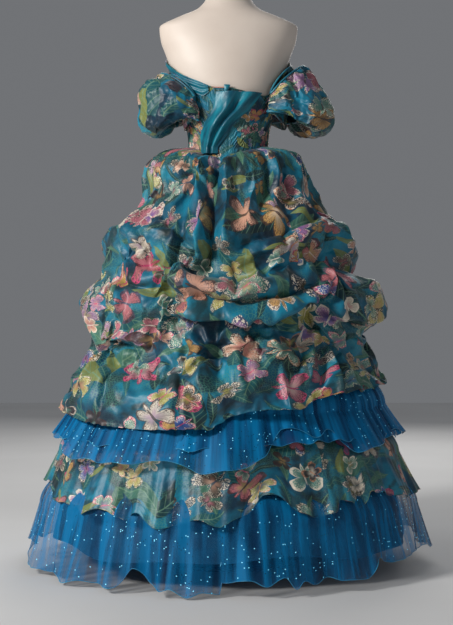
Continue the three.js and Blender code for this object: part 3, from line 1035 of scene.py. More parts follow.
@dataclass(frozen=True)
class PrintedTaffeta:
    """Crisp teal taffeta with an all-over print of butterflies on net-veined leaves."""

    effects: Effects
    name: str = "printed_taffeta"
    roughness: float = 0.46
    leaves: tuple[MotifLayer, ...] = (
        MotifLayer(0.17, 3.3, 0.9, 0.16),
        MotifLayer(0.12, 9.1, 0.8, 0.13),
        MotifLayer(0.085, 15.4, 0.7, 0.11),
    )
    butterflies: tuple[MotifLayer, ...] = (
        MotifLayer(0.095, 5.2, 0.42),
        MotifLayer(0.125, 21.7, 0.5),
        MotifLayer(0.075, 33.9, 0.4),
    )
    crush: float = 0.0022

    def ground(self, w: Wiring, flat: Input) -> Socket:
        """The mottled teal ground under the motifs.

        Args:
            w: the material's wiring.
            flat: places on the flat cut.

        Returns:
            The colour.
        """
        wash = w.noise(flat, 9.0, 5.0, flat=True)
        ground = w.ramp(wash, [(0.34, TEAL_DEEP), (0.5, TEAL), (0.7, TEAL_LIGHT)])
        bark = w.step(w.noise(w.vector("ADD", flat, (9.0, 2.0, 0.0)), 13.0, 6.0, flat=True), 0.51, 0.66)
        ground = w.mix(w.times(bark, 0.82), ground, srgb(22, 40, 38))
        cloud = w.step(w.noise(w.vector("ADD", flat, (4.0, 7.0, 0.0)), 6.0, 4.0, flat=True), 0.44, 0.6)
        net = w.voronoi(flat, 165.0, feature="DISTANCE_TO_EDGE")
        lines = w.rest(w.step(net.outputs["Distance"], 0.03, 0.12))
        return w.mix(w.times(w.times(lines, cloud), 0.8), ground, srgb(84, 146, 124))

    def add_leaves(self, w: Wiring, flat: Input, colour: Input, layer: MotifLayer) -> Socket:
        """Prints one size of leaf over a colour.

        Args:
            w: the material's wiring.
            flat: places on the flat cut.
            colour: what is printed so far.
            layer: the leaf's size and place.

        Returns:
            The new colour.
        """
        leaf = effect(w, self.effects.leaves, Vector=flat, **layer.inputs(), Slimness=layer.slimness)
        pick = leaf.outputs["Pick"]
        stops = [(0.0, LEAF_DARK), (0.3, srgb(16, 84, 88)), (0.6, LEAF_GREEN), (0.86, srgb(128, 134, 66))]
        body = w.ramp(pick, stops, steps=True)
        veined = w.mix(w.times(leaf.outputs["Veins"], 0.7), body, srgb(120, 158, 124))
        return w.mix(w.times(leaf.outputs["Mask"], 0.85), colour, veined)

    def add_butterflies(self, w: Wiring, flat: Input, colour: Input, layer: MotifLayer) -> Socket:
        """Prints one size of butterfly over a colour, as add_leaves does with leaves.

        Args:
            w: the material's wiring.
            flat: places on the flat cut.
            colour: what is printed so far.
            layer: the butterfly's size and place.

        Returns:
            The new colour.
        """
        fly = effect(w, self.effects.butterflies, Vector=flat, **layer.inputs())
        depth = fly.outputs["Depth"]
        pick = fly.outputs["Pick"]
        other = w.math("FRACT", w.times(pick, 7.3))
        wing = w.ramp(pick, colour_steps(WING_COLOURS), steps=True)
        heart = w.ramp(other, colour_steps(WING_COLOURS[::-1]), steps=True)
        blended = w.mix(w.step(depth, 0.1, 0.62), w.mix(0.6, wing, heart), wing)
        veined = w.mix(w.times(fly.outputs["Veins"], 0.75), blended, VEIN_DARK)
        rim = w.ramp(w.math("FRACT", w.times(pick, 13.7)), colour_steps(RIM_COLOURS), steps=True)
        rimmed = w.mix(w.times(fly.outputs["Rim"], 0.85), veined, rim)
        light = w.math("GREATER_THAN", w.math("FRACT", w.times(pick, 3.1)), 0.45)
        fleck = w.mix(light, VEIN_DARK, SPOT_CREAM)
        spotted = w.mix(w.times(fly.outputs["Spots"], 0.85), rimmed, fleck)
        worn = w.math("MULTIPLY_ADD", w.noise(flat, 60.0, 3.0, flat=True), 0.5, 0.62)
        return w.mix(w.times(fly.outputs["Mask"], w.math("MINIMUM", worn, 0.93)), colour, spotted)

    def build(self) -> Material:
        """Makes the material.

        Returns:
            The material.
        """
        made, w, shader = new_material(self.name)
        flat = w.flat_cut()
        colour = self.ground(w, flat)
        for layer in self.leaves:
            colour = self.add_leaves(w, flat, colour, layer)
        for layer in self.butterflies:
            colour = self.add_butterflies(w, flat, colour, layer)
        w.feed(shader.inputs["Base Color"], colour)
        set_shader(shader, Roughness=self.roughness, Sheen_Weight=0.12, Sheen_Roughness=0.4)
        add_crinkle(w, shader, self.effects, flat, self.crush)
        return made


@dataclass(frozen=True)
class PlainTaffeta:
    """Taffeta of one dye, its lustre broken by soft streaks."""

    effects: Effects
    name: str
    dark: Colour
    light: Colour
    roughness: float = 0.38
    crush: float = 0.0008

    def build(self) -> Material:
        """Makes the material.

        Returns:
            The material.
        """
        made, w, shader = new_material(self.name)
        flat = w.flat_cut()
        shade = w.noise(flat, 18.0, 4.0, flat=True)
        w.feed(shader.inputs["Base Color"], w.ramp(shade, [(0.35, self.dark), (0.65, self.light)]))
        set_shader(shader, Roughness=self.roughness, Sheen_Weight=0.15, Sheen_Roughness=0.4)
        add_crinkle(w, shader, self.effects, flat, self.crush)
        return made


@dataclass(frozen=True)
class GlitterTulle:
    """Sheer azure cloth in gathered streaks, strewn with dark flecks and with bright flecks that carry
    painted glints: a near-white base colour and an emission glow.
    """

    effects: Effects
    name: str
    thin: float
    thick: float
    seed: float

    def build(self) -> Material:
        """Makes the material.

        Returns:
            The material.
        """
        made, w, shader = new_material(self.name)
        flat = w.flat_cut()
        streak_place = w.vector("MULTIPLY", flat, (34.0, 2.4, 1.0))
        streak = w.noise(streak_place, 1.0, 3.0, flat=True)
        colour = w.ramp(streak, [(0.3, AZURE_DEEP), (0.62, AZURE)])
        flecks = effect(w, self.effects.glitter, Vector=flat, Seed=self.seed)
        dotted = w.mix(flecks.outputs["Dark"], colour, srgb(2, 30, 60))
        # Painted glints: the bright flecks get a near-white base colour that stands in for glitter catching
        # the light.
        painted_glint_colour = w.mix(flecks.outputs["Bright"], dotted, srgb(170, 240, 255))
        w.feed(shader.inputs["Base Color"], painted_glint_colour)
        # Painted glow: the same flecks shine by emission, though they are no lamp.
        painted_glint_glow = w.mix(flecks.outputs["Bright"], (0.0, 0.0, 0.0, 1.0), srgb(60, 190, 235))
        w.feed(shader.inputs["Emission Color"], painted_glint_glow)
        spread = w.math("MULTIPLY_ADD", w.step(streak, 0.35, 0.65), self.thick - self.thin, self.thin)
        w.feed(shader.inputs["Alpha"], w.math("MAXIMUM", spread, flecks.outputs["Bright"]))
        set_shader(shader, Roughness=0.55, Specular_IOR_Level=0.15, Emission_Strength=0.7)
        add_bump(w, shader, w.times(streak, 0.004), 0.5)
        return made


@dataclass(frozen=True)
class SoftMatte:
    """A smooth cover, paint or bare metal with slight cloudy wear."""

    name: str
    dark: Colour
    light: Colour
    roughness: float
    metallic: float = 0.0
    texture: float = 0.0003

    def build(self) -> Material:
        """Makes the material.

        Returns:
            The material.
        """
        made, w, shader = new_material(self.name)
        place = w.node("ShaderNodeTexCoord").outputs["Object"]
        cloud = w.noise(place, 6.0, 4.0)
        w.feed(shader.inputs["Base Color"], w.ramp(cloud, [(0.3, self.dark), (0.7, self.light)]))
        wear = w.math("MULTIPLY_ADD", w.noise(place, 30.0, 3.0), 0.12, self.roughness - 0.06)
        w.feed(shader.inputs["Roughness"], wear)
        set_shader(shader, Metallic=self.metallic)
        add_bump(w, shader, w.times(w.noise(place, 900.0, 2.0), self.texture), 0.5)
        return made


class Slot(Enum):
    """The material slots."""

    PRINTED = "printed_taffeta"
    PLAIN = "plain_taffeta"
    TULLE = "sheer_tulle"
    BASE = "base_cloth"
    BINDING = "binding"
    SKIN = "form_skin"
    POLE = "pole_metal"
    FOOT = "foot_paint"


@dataclass
class Wardrobe:
    """Every finish, made once."""

    printed: Material
    plain: Material
    lining: Material
    outer_tulle: Material
    inner_tulle: Material
    hem_tulle: Material
    binding: Material
    rolled_edge: Material
    skin: Material
    pole: Material
    foot: Material

    @classmethod
    def build(cls) -> "Wardrobe":
        """Makes the shared effects and then each finish.

        Returns:
            The wardrobe.
        """
        effects = Effects.build()
        return cls(
            printed=PrintedTaffeta(effects).build(),
            plain=PlainTaffeta(effects, "plain_taffeta", srgb(0, 78, 100), srgb(4, 126, 146)).build(),
            lining=PlainTaffeta(effects, "base_cloth", srgb(0, 78, 118), srgb(0, 106, 152), 0.6).build(),
            outer_tulle=GlitterTulle(effects, "sheer_tulle", 0.66, 0.93, 2.0).build(),
            inner_tulle=GlitterTulle(effects, "sheer_tulle_under", 0.85, 0.99, 6.0).build(),
            hem_tulle=GlitterTulle(effects, "sheer_tulle_hem", 0.4, 0.78, 11.0).build(),
            binding=PlainTaffeta(effects, "binding", srgb(6, 92, 116), srgb(52, 142, 164), 0.35).build(),
            rolled_edge=PlainTaffeta(
                effects, "rolled_edge", srgb(0, 100, 150), srgb(40, 150, 190), 0.4
            ).build(),
            skin=SoftMatte("form_skin", srgb(218, 203, 190), srgb(230, 217, 205), 0.5).build(),
            pole=SoftMatte("pole_metal", srgb(150, 150, 152), srgb(190, 190, 194), 0.32, 1.0, 0.0001).build(),
            foot=SoftMatte("foot_paint", srgb(26, 26, 28), srgb(44, 44, 46), 0.5).build(),
        )


# The dress form


@dataclass
class DressForm:
    """The limbless torso, smooth and whole, on its pole and round foot."""

    wardrobe: Wardrobe
    columns: int = 120
    rows: int = 150
    cap_rows: int = 8
    cap_round: float = 0.006

    def torso(self) -> Object:
        """The torso as one closed turned skin with a softly rounded rim at each end.

        Returns:
            The torso.
        """
        low, high = FORM_ROWS[0][0] * MM, FORM_ROWS[-1][0] * MM

        def shape(u: Array, v: Array) -> Array:
            """The skin and its two closing caps.

            Args:
                u: shares of the way across.
                v: shares of the way down.

            Returns:
                Points with xyz in the last axis.
            """
            share = self.cap_rows / self.rows
            along = np.clip((v - share) / (1 - 2 * share), 0, 1)
            z = high + (low - high) * along
            closing = np.maximum(share - v, v - 1 + share) / share
            closing = np.clip(closing, 0, 1)
            tuck = np.sin(closing * np.pi / 2)
            points = body_place(u * 360, z, 0.0)
            points[..., :2] *= (1 - tuck)[..., None]
            points[..., 2] += np.where(v < 0.5, 1, -1) * self.cap_round * np.sin(tuck * np.pi / 2) * 0.5
            return points

        return sheet_object("torso_cover", self.columns, self.rows, shape, gore_map(0.16, 0.73, 0), True)

    def build(self) -> None:
        """Builds the torso and finishes the pole and the foot."""
        ride_and_dress(self.torso(), self.wardrobe.skin, ["form_torso"])
        for node, finish in (("form_pole", self.wardrobe.pole), ("form_foot", self.wardrobe.foot)):
            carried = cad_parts[node]
            carried.data.materials.clear()
            carried.data.materials.append(finish)


# The bodice, its drape and its sleeves


@dataclass
class Bodice:
    """The fitted bodice: shirred side backs, seamed front, centre drape and neckline trims."""

    wardrobe: Wardrobe
    columns: int = 540
    rows: int = 130
    shirr_pitch: float = 0.0085
    shirr_height: float = 0.0021
    seams: tuple[float, ...] = (-90.0, -7.5, 52.5, 127.5, 187.5)
    trim_lift: float = 0.0035
    neck_bead: float = 0.0016
    drape_top: float = 1.264
    drape_bottom: float = 1.100
    drape_rows: tuple = (
        (1117, -74, -28, 13), (1146, -76, -6, 17), (1180, -66, 16, 21), (1222, -42, 60, 18),
        (1262, -34, 90, 9),
    )
    band_rows: tuple = ((188, 12), (207, 22), (222, 36), (238, 38), (248, 18))

    def relief(self, angle: Array, z: Array) -> Array:
        """Gathers and seams that stand on the bodice.

        Args:
            angle: plan angles.
            z: heights.

        Returns:
            Their heights in metres.
        """
        around = wrap(angle)
        back = bump(np.minimum(np.abs(around + 48), np.abs(around + 132)), 26.0)
        back = np.clip(back * 1.35, 0, 1)
        arc = np.radians(around + 90) * 0.115
        lean = np.where(arc > 0, -0.55, 0.45)
        place = np.stack([arc, z * 0.6, 0 * z], axis=-1)
        wander = soft_noise(place, 0.03, 3.1) * 2.2 + soft_noise(place, 0.011, 8.7) * 0.8
        phase = (arc + lean * z) / self.shirr_pitch + wander
        ridges = 1 - 2 * np.abs(np.sin(phase * np.pi)) ** 0.8
        broken = 0.65 + 0.5 * soft_noise(place, 0.02, 5.5)
        height = back * self.shirr_height * ridges * broken
        for seam in self.seams:
            gap = np.abs(wrap(angle - seam))
            height = height - 0.0012 * bump(gap, 0.9)
        pulls = soft_noise(np.stack([arc * 0.5, z, 0 * z], axis=-1), 0.03, 1.7)
        return height + 0.0012 * pulls * (1 - back)

    def shell(self) -> Object:
        """The bodice's tube from the neckline to the waist seam.

        Returns:
            The shell.
        """

        def shape(u: Array, v: Array) -> Array:
            """The shell with its gathers and seams.

            Args:
                u: shares of the way across.
                v: shares of the way down.

            Returns:
                Points with xyz in the last axis.
            """
            angle = u * 360
            z = edge_height(NECKLINE, angle) * (1 - v) + edge_height(WAIST_SEAM, angle) * v
            return body_place(angle, z, BODICE_OFFSET + self.relief(angle, z))

        return sheet_object("bodice", self.columns, self.rows, shape, gore_map(0.2, 0.36, 0.4), True)

    def neck_edge(self) -> Object:
        """The narrow turned edge that runs round the neckline.

        Returns:
            The edge.
        """
        angle = np.linspace(0, 360, 260, endpoint=False)
        line = body_place(angle, edge_height(NECKLINE, angle), BODICE_OFFSET + 0.0003)
        return edge_bead("bodice_neck_edge", line, self.neck_bead)

    def drape(self) -> Object:
        """The loose centre-back drape with its two long rolls.

        Returns:
            The drape.
        """
        rows = self.drape_rows

        def shape(u: Array, v: Array) -> Array:
            """The drape with its rolls.

            Args:
                u: shares of the way across.
                v: shares of the way down.

            Returns:
                Points with xyz in the last axis.
            """
            z = self.drape_top + (self.drape_bottom - self.drape_top) * v
            left = table_column(rows, 1, z) * MM
            right = table_column(rows, 2, z) * MM
            fold = table_column(rows, 3, z) * MM
            edge = np.clip(np.sin(np.pi * u), 0, 1) ** 0.45
            first = bump(u - 0.30 - 0.06 * np.sin(3 * v), 0.16)
            second = 0.85 * bump(u - 0.80 + 0.14 * v, 0.10) * (1 - 0.55 * v)
            gap = 0.55 * bump(u - 0.56 + 0.05 * v, 0.07)
            crush = 0.07 * soft_noise(np.stack([u * 0.1, v * 0.16, 0 * u], axis=-1), 0.016, 4.4)
            ridge = fold * edge * np.clip(0.25 + first + second - gap + crush, 0.05, 1.3)
            offset = BODICE_OFFSET + self.trim_lift + ridge
            across = left + (right - left) * u
            width = table_column(FORM_ROWS, 1, z) * MM + offset
            angle = -np.degrees(np.arccos(np.clip(across / width, -1, 1)))
            return body_place(angle, z, offset)

        flat = gore_map(0.045, 0.17, 0.21)
        return sheet_object("back_drape_cloth", 110, 120, shape, lambda u, v, m: flat(u, v, 0 * m), False)

    def band(self) -> Object:
        """The folded plain band at the left of the back neckline.

        Returns:
            The band.
        """
        rows = self.band_rows

        def shape(u: Array, v: Array) -> Array:
            """The band with its pleats.

            Args:
                u: shares of the way across.
                v: shares of the way down.

            Returns:
                Points with xyz in the last axis.
            """
            angle = rows[0][0] + (rows[-1][0] - rows[0][0]) * u
            depth = smooth_curve([r[0] for r in rows], [r[1] for r in rows], angle) * MM
            z = edge_height(NECKLINE, angle) + 0.002 - depth * v
            pleats = 0.0016 * np.sin(v * 15 + u * 3.0) * np.sin(np.pi * v) ** 0.5
            return body_place(angle, z, BODICE_OFFSET + 0.0032 + pleats + 0.0015 * np.sin(np.pi * v))

        flat = gore_map(0.025, 0.035, 0.0)
        return sheet_object("neckline_fold", 90, 30, shape, lambda u, v, m: flat(u, v, 0 * m), False)

    def tab(self) -> Object:
        """The small plain tab that shows at the centre of the back neckline.

        Returns:
            The tab.
        """

        def shape(u: Array, v: Array) -> Array:
            """The tab, narrower below.

            Args:
                u: shares of the way across.
                v: shares of the way down.

            Returns:
                Points with xyz in the last axis.
            """
            angle = -94.5 + 6.5 * u - 2.0 * v
            width = 1 - 0.35 * v
            angle = -91.5 + (angle + 91.5) * width
            z = edge_height(NECKLINE, angle) + 0.008 - 0.024 * v
            puff = 0.003 * np.sin(np.pi * u) * np.sin(np.pi * np.clip(v, 0.05, 1))
            return body_place(angle, z, BODICE_OFFSET + self.trim_lift + puff)

        flat = gore_map(0.003, 0.02, 0.0)
        return sheet_object("neckline_tab", 14, 16, shape, lambda u, v, m: flat(u, v, 0 * m), False)

    def build(self) -> None:
        finishes = self.wardrobe
        shell = ride_and_dress(
            self.shell(),
            finishes.printed,
            [
                "bodice_front_centre", "bodice_side_front_left", "bodice_back_left", "bodice_back_right",
                "bodice_side_front_right",
            ],
        )
        edge = ride_and_dress(self.neck_edge(), finishes.printed)
        drape = ride_and_dress(self.drape(), finishes.plain, ["back_drape"])
        band = ride_and_dress(self.band(), finishes.plain, ["neckline_band"])
        tab = ride_and_dress(self.tab(), finishes.plain)


@dataclass(frozen=True)
class SleeveSize:
    """One off-shoulder puff: where its tips sit and how far it stands out.

    Attributes:
        side: left or right, for its names.
        back_angle: plan angle of the back tip.
        front_angle: plan angle of the front tip.
        tips: heights of the back top, back bottom, front top and front bottom, in metres.
        tip: reach of the tips in metres.
        rows: height, reach and gap to the bodice in millimetres, from the bottom up.
        gathers: number of gathers round each edge.
        seed: moves its crumples.
        start: where its cut begins on the printed cloth.
    """

    side: str
    back_angle: float
    front_angle: float
    tips: tuple[float, float, float, float]
    tip: float
    rows: tuple
    gathers: int
    seed: float
    start: float


@dataclass
class Sleeves:
    """The two gathered puffs and their bindings."""

    wardrobe: Wardrobe
    columns: int = 190
    rows: int = 60
    settling: Settling = Settling(20, 0.16, 0.03, 0.15, 0.03, 0.022)
    binding_radius: float = 0.0027
    binding_sides: int = 8
    taper: float = 0.85
    middle_z: float = 1.26
    sizes: tuple[SleeveSize, ...] = (
        SleeveSize(
            "left",
            232,
            128,
            (1.252, 1.190, 1.362, 1.200),
            0.012,
            (
                (1212, 30, 6), (1186, 46, 6), (1174, 76, 5), (1188, 104, 5), (1228, 116, 4),
                (1278, 112, 4), (1318, 84, 4), (1336, 50, 4), (1326, 28, 4),
            ),
            17,
            2.2,
            0.9,
        ),
        SleeveSize(
            "right",
            -42,
            52,
            (1.262, 1.216, 1.364, 1.212),
            0.014,
            (
                (1204, 74, 30), (1182, 98, 38), (1178, 132, 40), (1200, 158, 36), (1240, 156, 26),
                (1286, 128, 12), (1326, 92, 6), (1350, 58, 4), (1350, 40, 4),
            ),
            15,
            7.7,
            2.6,
        ),
    )

    def place(self, size: SleeveSize, u: Array, v: Array, extra: Array | float) -> Array:
        """A place on a puff: u runs once round it and v from its top to its bottom.

        Args:
            size: the puff's sizes.
            u: share of the way round.
            v: share of the way down.
            extra: distance outside the puff in metres.

        Returns:
            Points with xyz in the last axis.
        """
        turn = 2 * np.pi * u
        share = (1 - np.cos(turn)) / 2
        swing = np.sin(turn)
        fullness = np.clip(np.sin(np.pi * share), 0, 1) ** 0.7
        count = len(size.rows) - 1
        index = (1 - v) * count
        steps = range(count + 1)
        row_z = smooth_curve(steps, [r[0] for r in size.rows], index) * MM
        reach = smooth_curve(steps, [r[1] for r in size.rows], index) * MM
        gap = smooth_curve(steps, [r[2] for r in size.rows], index) * MM
        back_top, back_bottom, front_top, front_bottom = size.tips
        tip_top = back_top + (front_top - back_top) * share
        tip_bottom = back_bottom + (front_bottom - back_bottom) * share
        tip_z = tip_top + (tip_bottom - tip_top) * v
        z = tip_z + (row_z - tip_z) * fullness
        outer = size.tip + (reach - size.tip) * np.clip(swing, 0, 1) ** self.taper
        inner = (size.tip - gap) * np.clip(-swing, 0, 1) ** self.taper
        angle = size.back_angle + (size.front_angle - size.back_angle) * share
        return body_place(angle, z, BODICE_OFFSET + 0.0015 + outer - inner + extra)

    def relief(self, size: SleeveSize, u: Array, v: Array) -> Array:
        """Gathers that fan from both edges, with crumples between them.

        Args:
            size: the puff's sizes.
            u: share of the way round.
            v: share of the way down.

        Returns:
            Heights in metres, nought on the side that lies on the bodice.
        """
        turn = 2 * np.pi * u
        outer = np.clip(np.sin(turn), 0, 1) ** 0.5
        place = np.stack([np.cos(turn) * 0.1, np.sin(turn) * 0.1, v * 0.16], axis=-1)
        wander = 1.6 * soft_noise(place, 0.07, size.seed)
        edge = np.minimum(v, 1 - v)
        fade = np.exp(-edge / 0.2)
        gathers = np.sin(turn * size.gathers + wander * 2) * fade * 0.007
        lobes = np.sin(turn * 5 + wander * 1.4 + size.seed) * np.sin(np.pi * v) * 0.007
        crush = crease_noise(place, 0.045, size.seed) * 0.0055
        crush = crush + crease_noise(place, 0.02, size.seed + 5) * 0.0022
        return outer * (gathers + lobes + crush * np.clip(edge * 8, 0, 1))

    def puff(self, size: SleeveSize) -> Object:
        """One puff.

        Args:
            size: the puff's sizes.

        Returns:
            The puff, settled and crumpled.
        """

        def shape(u: Array, v: Array) -> Array:
            """The puff with its gathers."""
            return self.place(size, u, v, self.relief(size, u, v))

        flat = gore_map(0.09, 0.24, size.start)
        turned = size.back_angle > size.front_angle
        cloth = sheet_object(f"puff_{size.side}", self.columns, self.rows, shape, flat, True, turned)
        places = read_places(cloth)
        facing = np.array(0.5 * (size.back_angle + size.front_angle))
        middle = body_place(facing, np.array(self.middle_z), 0.0)
        outer = places - middle
        away = np.abs(outer[:, 0]) - 0.012
        held = np.clip(1 - away / 0.02, 0, 1)
        edge = open_edges(cloth)
        self.settling.settle(cloth, np.maximum(held, edge))
        refine(cloth)
        crumple(cloth, ((0.03, -0.0016, size.seed), (0.014, -0.0007, size.seed + 4)))
        return cloth

    def binding(self, size: SleeveSize, name: str, v: float, lift: float) -> Object:
        """A rolled binding along one edge of a puff.

        Args:
            size: the puff's sizes.
            name: the binding's name.
            v: share of the way down the puff.
            lift: how far it sits above the edge in metres.

        Returns:
            The binding.
        """
        u = np.linspace(0, 1, 150, endpoint=False)
        line = self.place(size, u, np.full_like(u, v), 0.0)
        line[:, 2] += lift
        return edge_bead(name, line, self.binding_radius, self.binding_sides)

    def build(self) -> None:
        """Builds both sleeves and their bindings."""
        for size in self.sizes:
            node = f"sleeve_{size.side}"
            puff = ride_and_dress(self.puff(size), self.wardrobe.printed, [node])
            for part, v, lift in (("top_binding", 0.0, 0.001), ("cuff_binding", 1.0, -0.001)):
                trim = self.binding(size, f"{part}_{size.side}", v, lift)
                ride_and_dress(trim, self.wardrobe.binding, [f"{node}_{part}"])


# The skirts

SKIRT_RATIO = 0.95


def gore_nodes(stem: str) -> list[str]:
    """Names of the eight construction panels of one tier."""
    return [f"{stem}_{index + 1}" for index in range(GORE_COUNT)]


@dataclass
class BaseSkirt:
    """The opaque lining skirt that all the tiers hang on."""

    wardrobe: Wardrobe
    columns: int = 240
    rows: int = 60
    profile: tuple = (
        (52, 490, 0.95), (330, 423, 0.95), (585, 336, 0.95), (816, 260, 0.93), (985, 188, 0.88),
        (1126, 109, 0.84),
    )

    def place(self, angle: Array, z: Array, out: Array | float) -> Array:
        """A place outside the lining at a plan angle and height.

        Args:
            angle: plan angles.
            z: heights.
            out: distance outside the lining in metres.

        Returns:
            Points with xyz in the last axis.
        """
        width = table_column(self.profile, 1, z) * MM
        ratio = table_column(self.profile, 2, z)
        return oval_place(angle, z, (width, width), ratio, out)

    def shape(self, u: Array, v: Array) -> Array:
        """The lining with the slight waves of a hanging skirt.

        Args:
            u: share of the way round.
            v: share of the way down.

        Returns:
            Points with xyz in the last axis.
        """
        angle = u * 360
        hem = 0.072 + 0.009 * np.sin(np.radians(angle * 4 + 40)) + 0.004 * np.sin(np.radians(angle * 9))
        z = (edge_height(WAIST_SEAM, angle) - 0.004) * (1 - v) + hem * v
        wave = 0.006 * v * np.sin(np.radians(angle * 11 + 30) + np.sin(np.radians(angle * 2)))
        return self.place(angle, z, wave - 0.004)

    def build(self) -> None:
        flat = gore_map(0.36, 1.12, 0)
        cloth = sheet_object("lining_skirt", self.columns, self.rows, self.shape, flat, True)
        ride_and_dress(cloth, self.wardrobe.lining, gore_nodes("base_skirt_gore"))


@dataclass(frozen=True)
class Fold:
    """One crease or roll of the overskirt, as listed.

    Attributes:
        line: across and height of its points in millimetres, seen from behind.
        width: its soft half width in millimetres.
        rise: its height, or its depth where negative, in millimetres.
        lean: how far its crest hangs over the cloth below, in millimetres.
    """

    line: tuple
    width: float
    rise: float
    lean: float = 0.0


BACK_FOLDS = tuple(
    Fold(*row)
    for row in (
        (((-30, 1090), (-40, 1060), (-45, 965), (-50, 875), (-60, 835)), 15, -30),
        (((-72, 1060), (-80, 960), (-84, 880)), 18, 14),
        (((-8, 1065), (-8, 965), (-6, 890)), 19, 15),
        (((-205, 1000), (-185, 980), (-135, 940), (-75, 895)), 16, 17, 10),
        (((-190, 955), (-145, 912), (-88, 870)), 10, -15),
        (((-150, 925), (-158, 870), (-165, 805)), 14, 12),
        (((-128, 930), (-138, 860), (-142, 800)), 9, -12),
        (((-100, 905), (-106, 850), (-112, 790)), 13, 11),
        (((-262, 900), (-240, 850), (-225, 800)), 15, 12),
        (((-240, 905), (-215, 850), (-200, 810)), 9, -11),
        (((60, 1080), (62, 1010), (55, 950)), 14, 9),
        (((95, 1075), (98, 1000), (84, 950)), 9, -12),
        (((125, 1075), (122, 1000), (112, 955)), 13, 11),
        (((160, 1075), (142, 965), (132, 880)), 11, -15),
        (((185, 1060), (175, 950)), 14, 13),
        (((5, 905), (50, 925), (110, 947), (185, 968)), 16, 17, 12),
        (((30, 893), (110, 915), (195, 930)), 11, -18),
        (((35, 868), (110, 880), (190, 890)), 14, 10, 6),
        (((215, 975), (240, 880), (270, 800)), 12, -17),
        (((255, 960), (285, 890), (315, 830)), 19, 15),
        (((165, 880), (190, 850), (215, 815)), 10, -10),
        (((50, 850), (62, 810), (66, 780)), 13, 12),
        (((10, 840), (14, 800), (16, 770)), 9, -11),
        (((110, 850), (130, 815), (140, 785)), 14, 11),
        (((-110, 778), (-60, 766), (30, 770), (120, 782), (180, 792), (240, 808)), 17, 22, 20),
        (((-98, 752), (-30, 738), (30, 738), (120, 748), (180, 760), (235, 776)), 15, -32),
        (((-330, 826), (-228, 792), (-155, 768), (-95, 760)), 15, 17, 14),
        (((-318, 790), (-225, 756), (-155, 735), (-98, 730)), 12, -24),
        (((-225, 722), (-150, 712), (-95, 712), (5, 700), (100, 698), (195, 728), (260, 770)), 18, 24, 14),
        (((-195, 690), (-110, 676), (-35, 668), (55, 664), (150, 684), (245, 728)), 13, -20),
        (((-20, 690), (40, 655), (75, 618), (80, 545)), 11, -17),
        (((10, 700), (75, 660), (112, 618), (118, 560)), 14, 14),
        (((-80, 602), (-35, 612), (5, 612), (80, 606)), 15, 15, 10),
        (((-72, 572), (5, 584), (72, 572)), 11, -15),
        (((-40, 575), (-20, 525), (-5, 470)), 11, -13),
        (((-72, 560), (-60, 510), (-55, 450)), 15, 11),
        (((20, 560), (28, 510), (36, 460)), 15, 12),
        (((225, 650), (198, 600), (175, 540)), 11, -17),
        (((225, 650), (236, 580), (240, 505)), 9, -16),
        (((228, 650), (270, 560), (310, 450)), 10, -19),
        (((230, 655), (300, 570), (355, 465)), 10, -15),
        (((215, 620), (208, 560), (206, 510)), 12, 12),
        (((232, 620), (256, 560), (276, 480)), 12, 14),
        (((238, 640), (285, 570), (334, 470)), 12, 13),
        (((320, 645), (365, 555), (395, 465)), 12, -16),
        (((335, 660), (390, 560), (425, 470)), 15, 12),
        (((262, 712), (300, 690), (345, 690), (385, 705)), 15, 15, 10),
        (((255, 690), (300, 664), (350, 662)), 11, -16),
        (((120, 660), (160, 640), (205, 640)), 13, 12, 6),
        (((130, 630), (165, 600), (200, 600)), 9, -12),
        (((-360, 590), (-335, 616), (-310, 625), (-270, 615), (-230, 595)), 12, -15),
        (((-365, 618), (-320, 652), (-275, 645), (-225, 622)), 14, 14, 8),
        (((-340, 708), (-315, 690), (-305, 655), (-325, 597)), 11, -15),
        (((-300, 720), (-272, 690), (-262, 660)), 15, 12),
        (((-160, 745), (-140, 680), (-105, 600), (-125, 540)), 10, -14),
        (((-185, 700), (-168, 640), (-140, 590)), 15, 13),
        (((-120, 690), (-85, 640), (-82, 590)), 13, 10),
        (((-220, 632), (-208, 580), (-195, 530)), 9, -12),
        (((-250, 600), (-245, 540), (-240, 470)), 15, 11),
        (((-175, 560), (-170, 510), (-165, 440)), 13, 10),
        (((-285, 580), (-300, 520), (-310, 450)), 10, -11),
        (((-340, 560), (-365, 500), (-380, 450)), 15, 10),
        (((130, 540), (140, 490), (150, 440)), 13, 10),
        (((-110, 520), (-112, 470), (-115, 430)), 10, -9),
    )
)


@dataclass(frozen=True)
class PickUp:
    """A place where the overskirt is caught up: plan angle, height and pull in millimetres."""

    angle: float
    z: float
    pull: float
    pleats: int


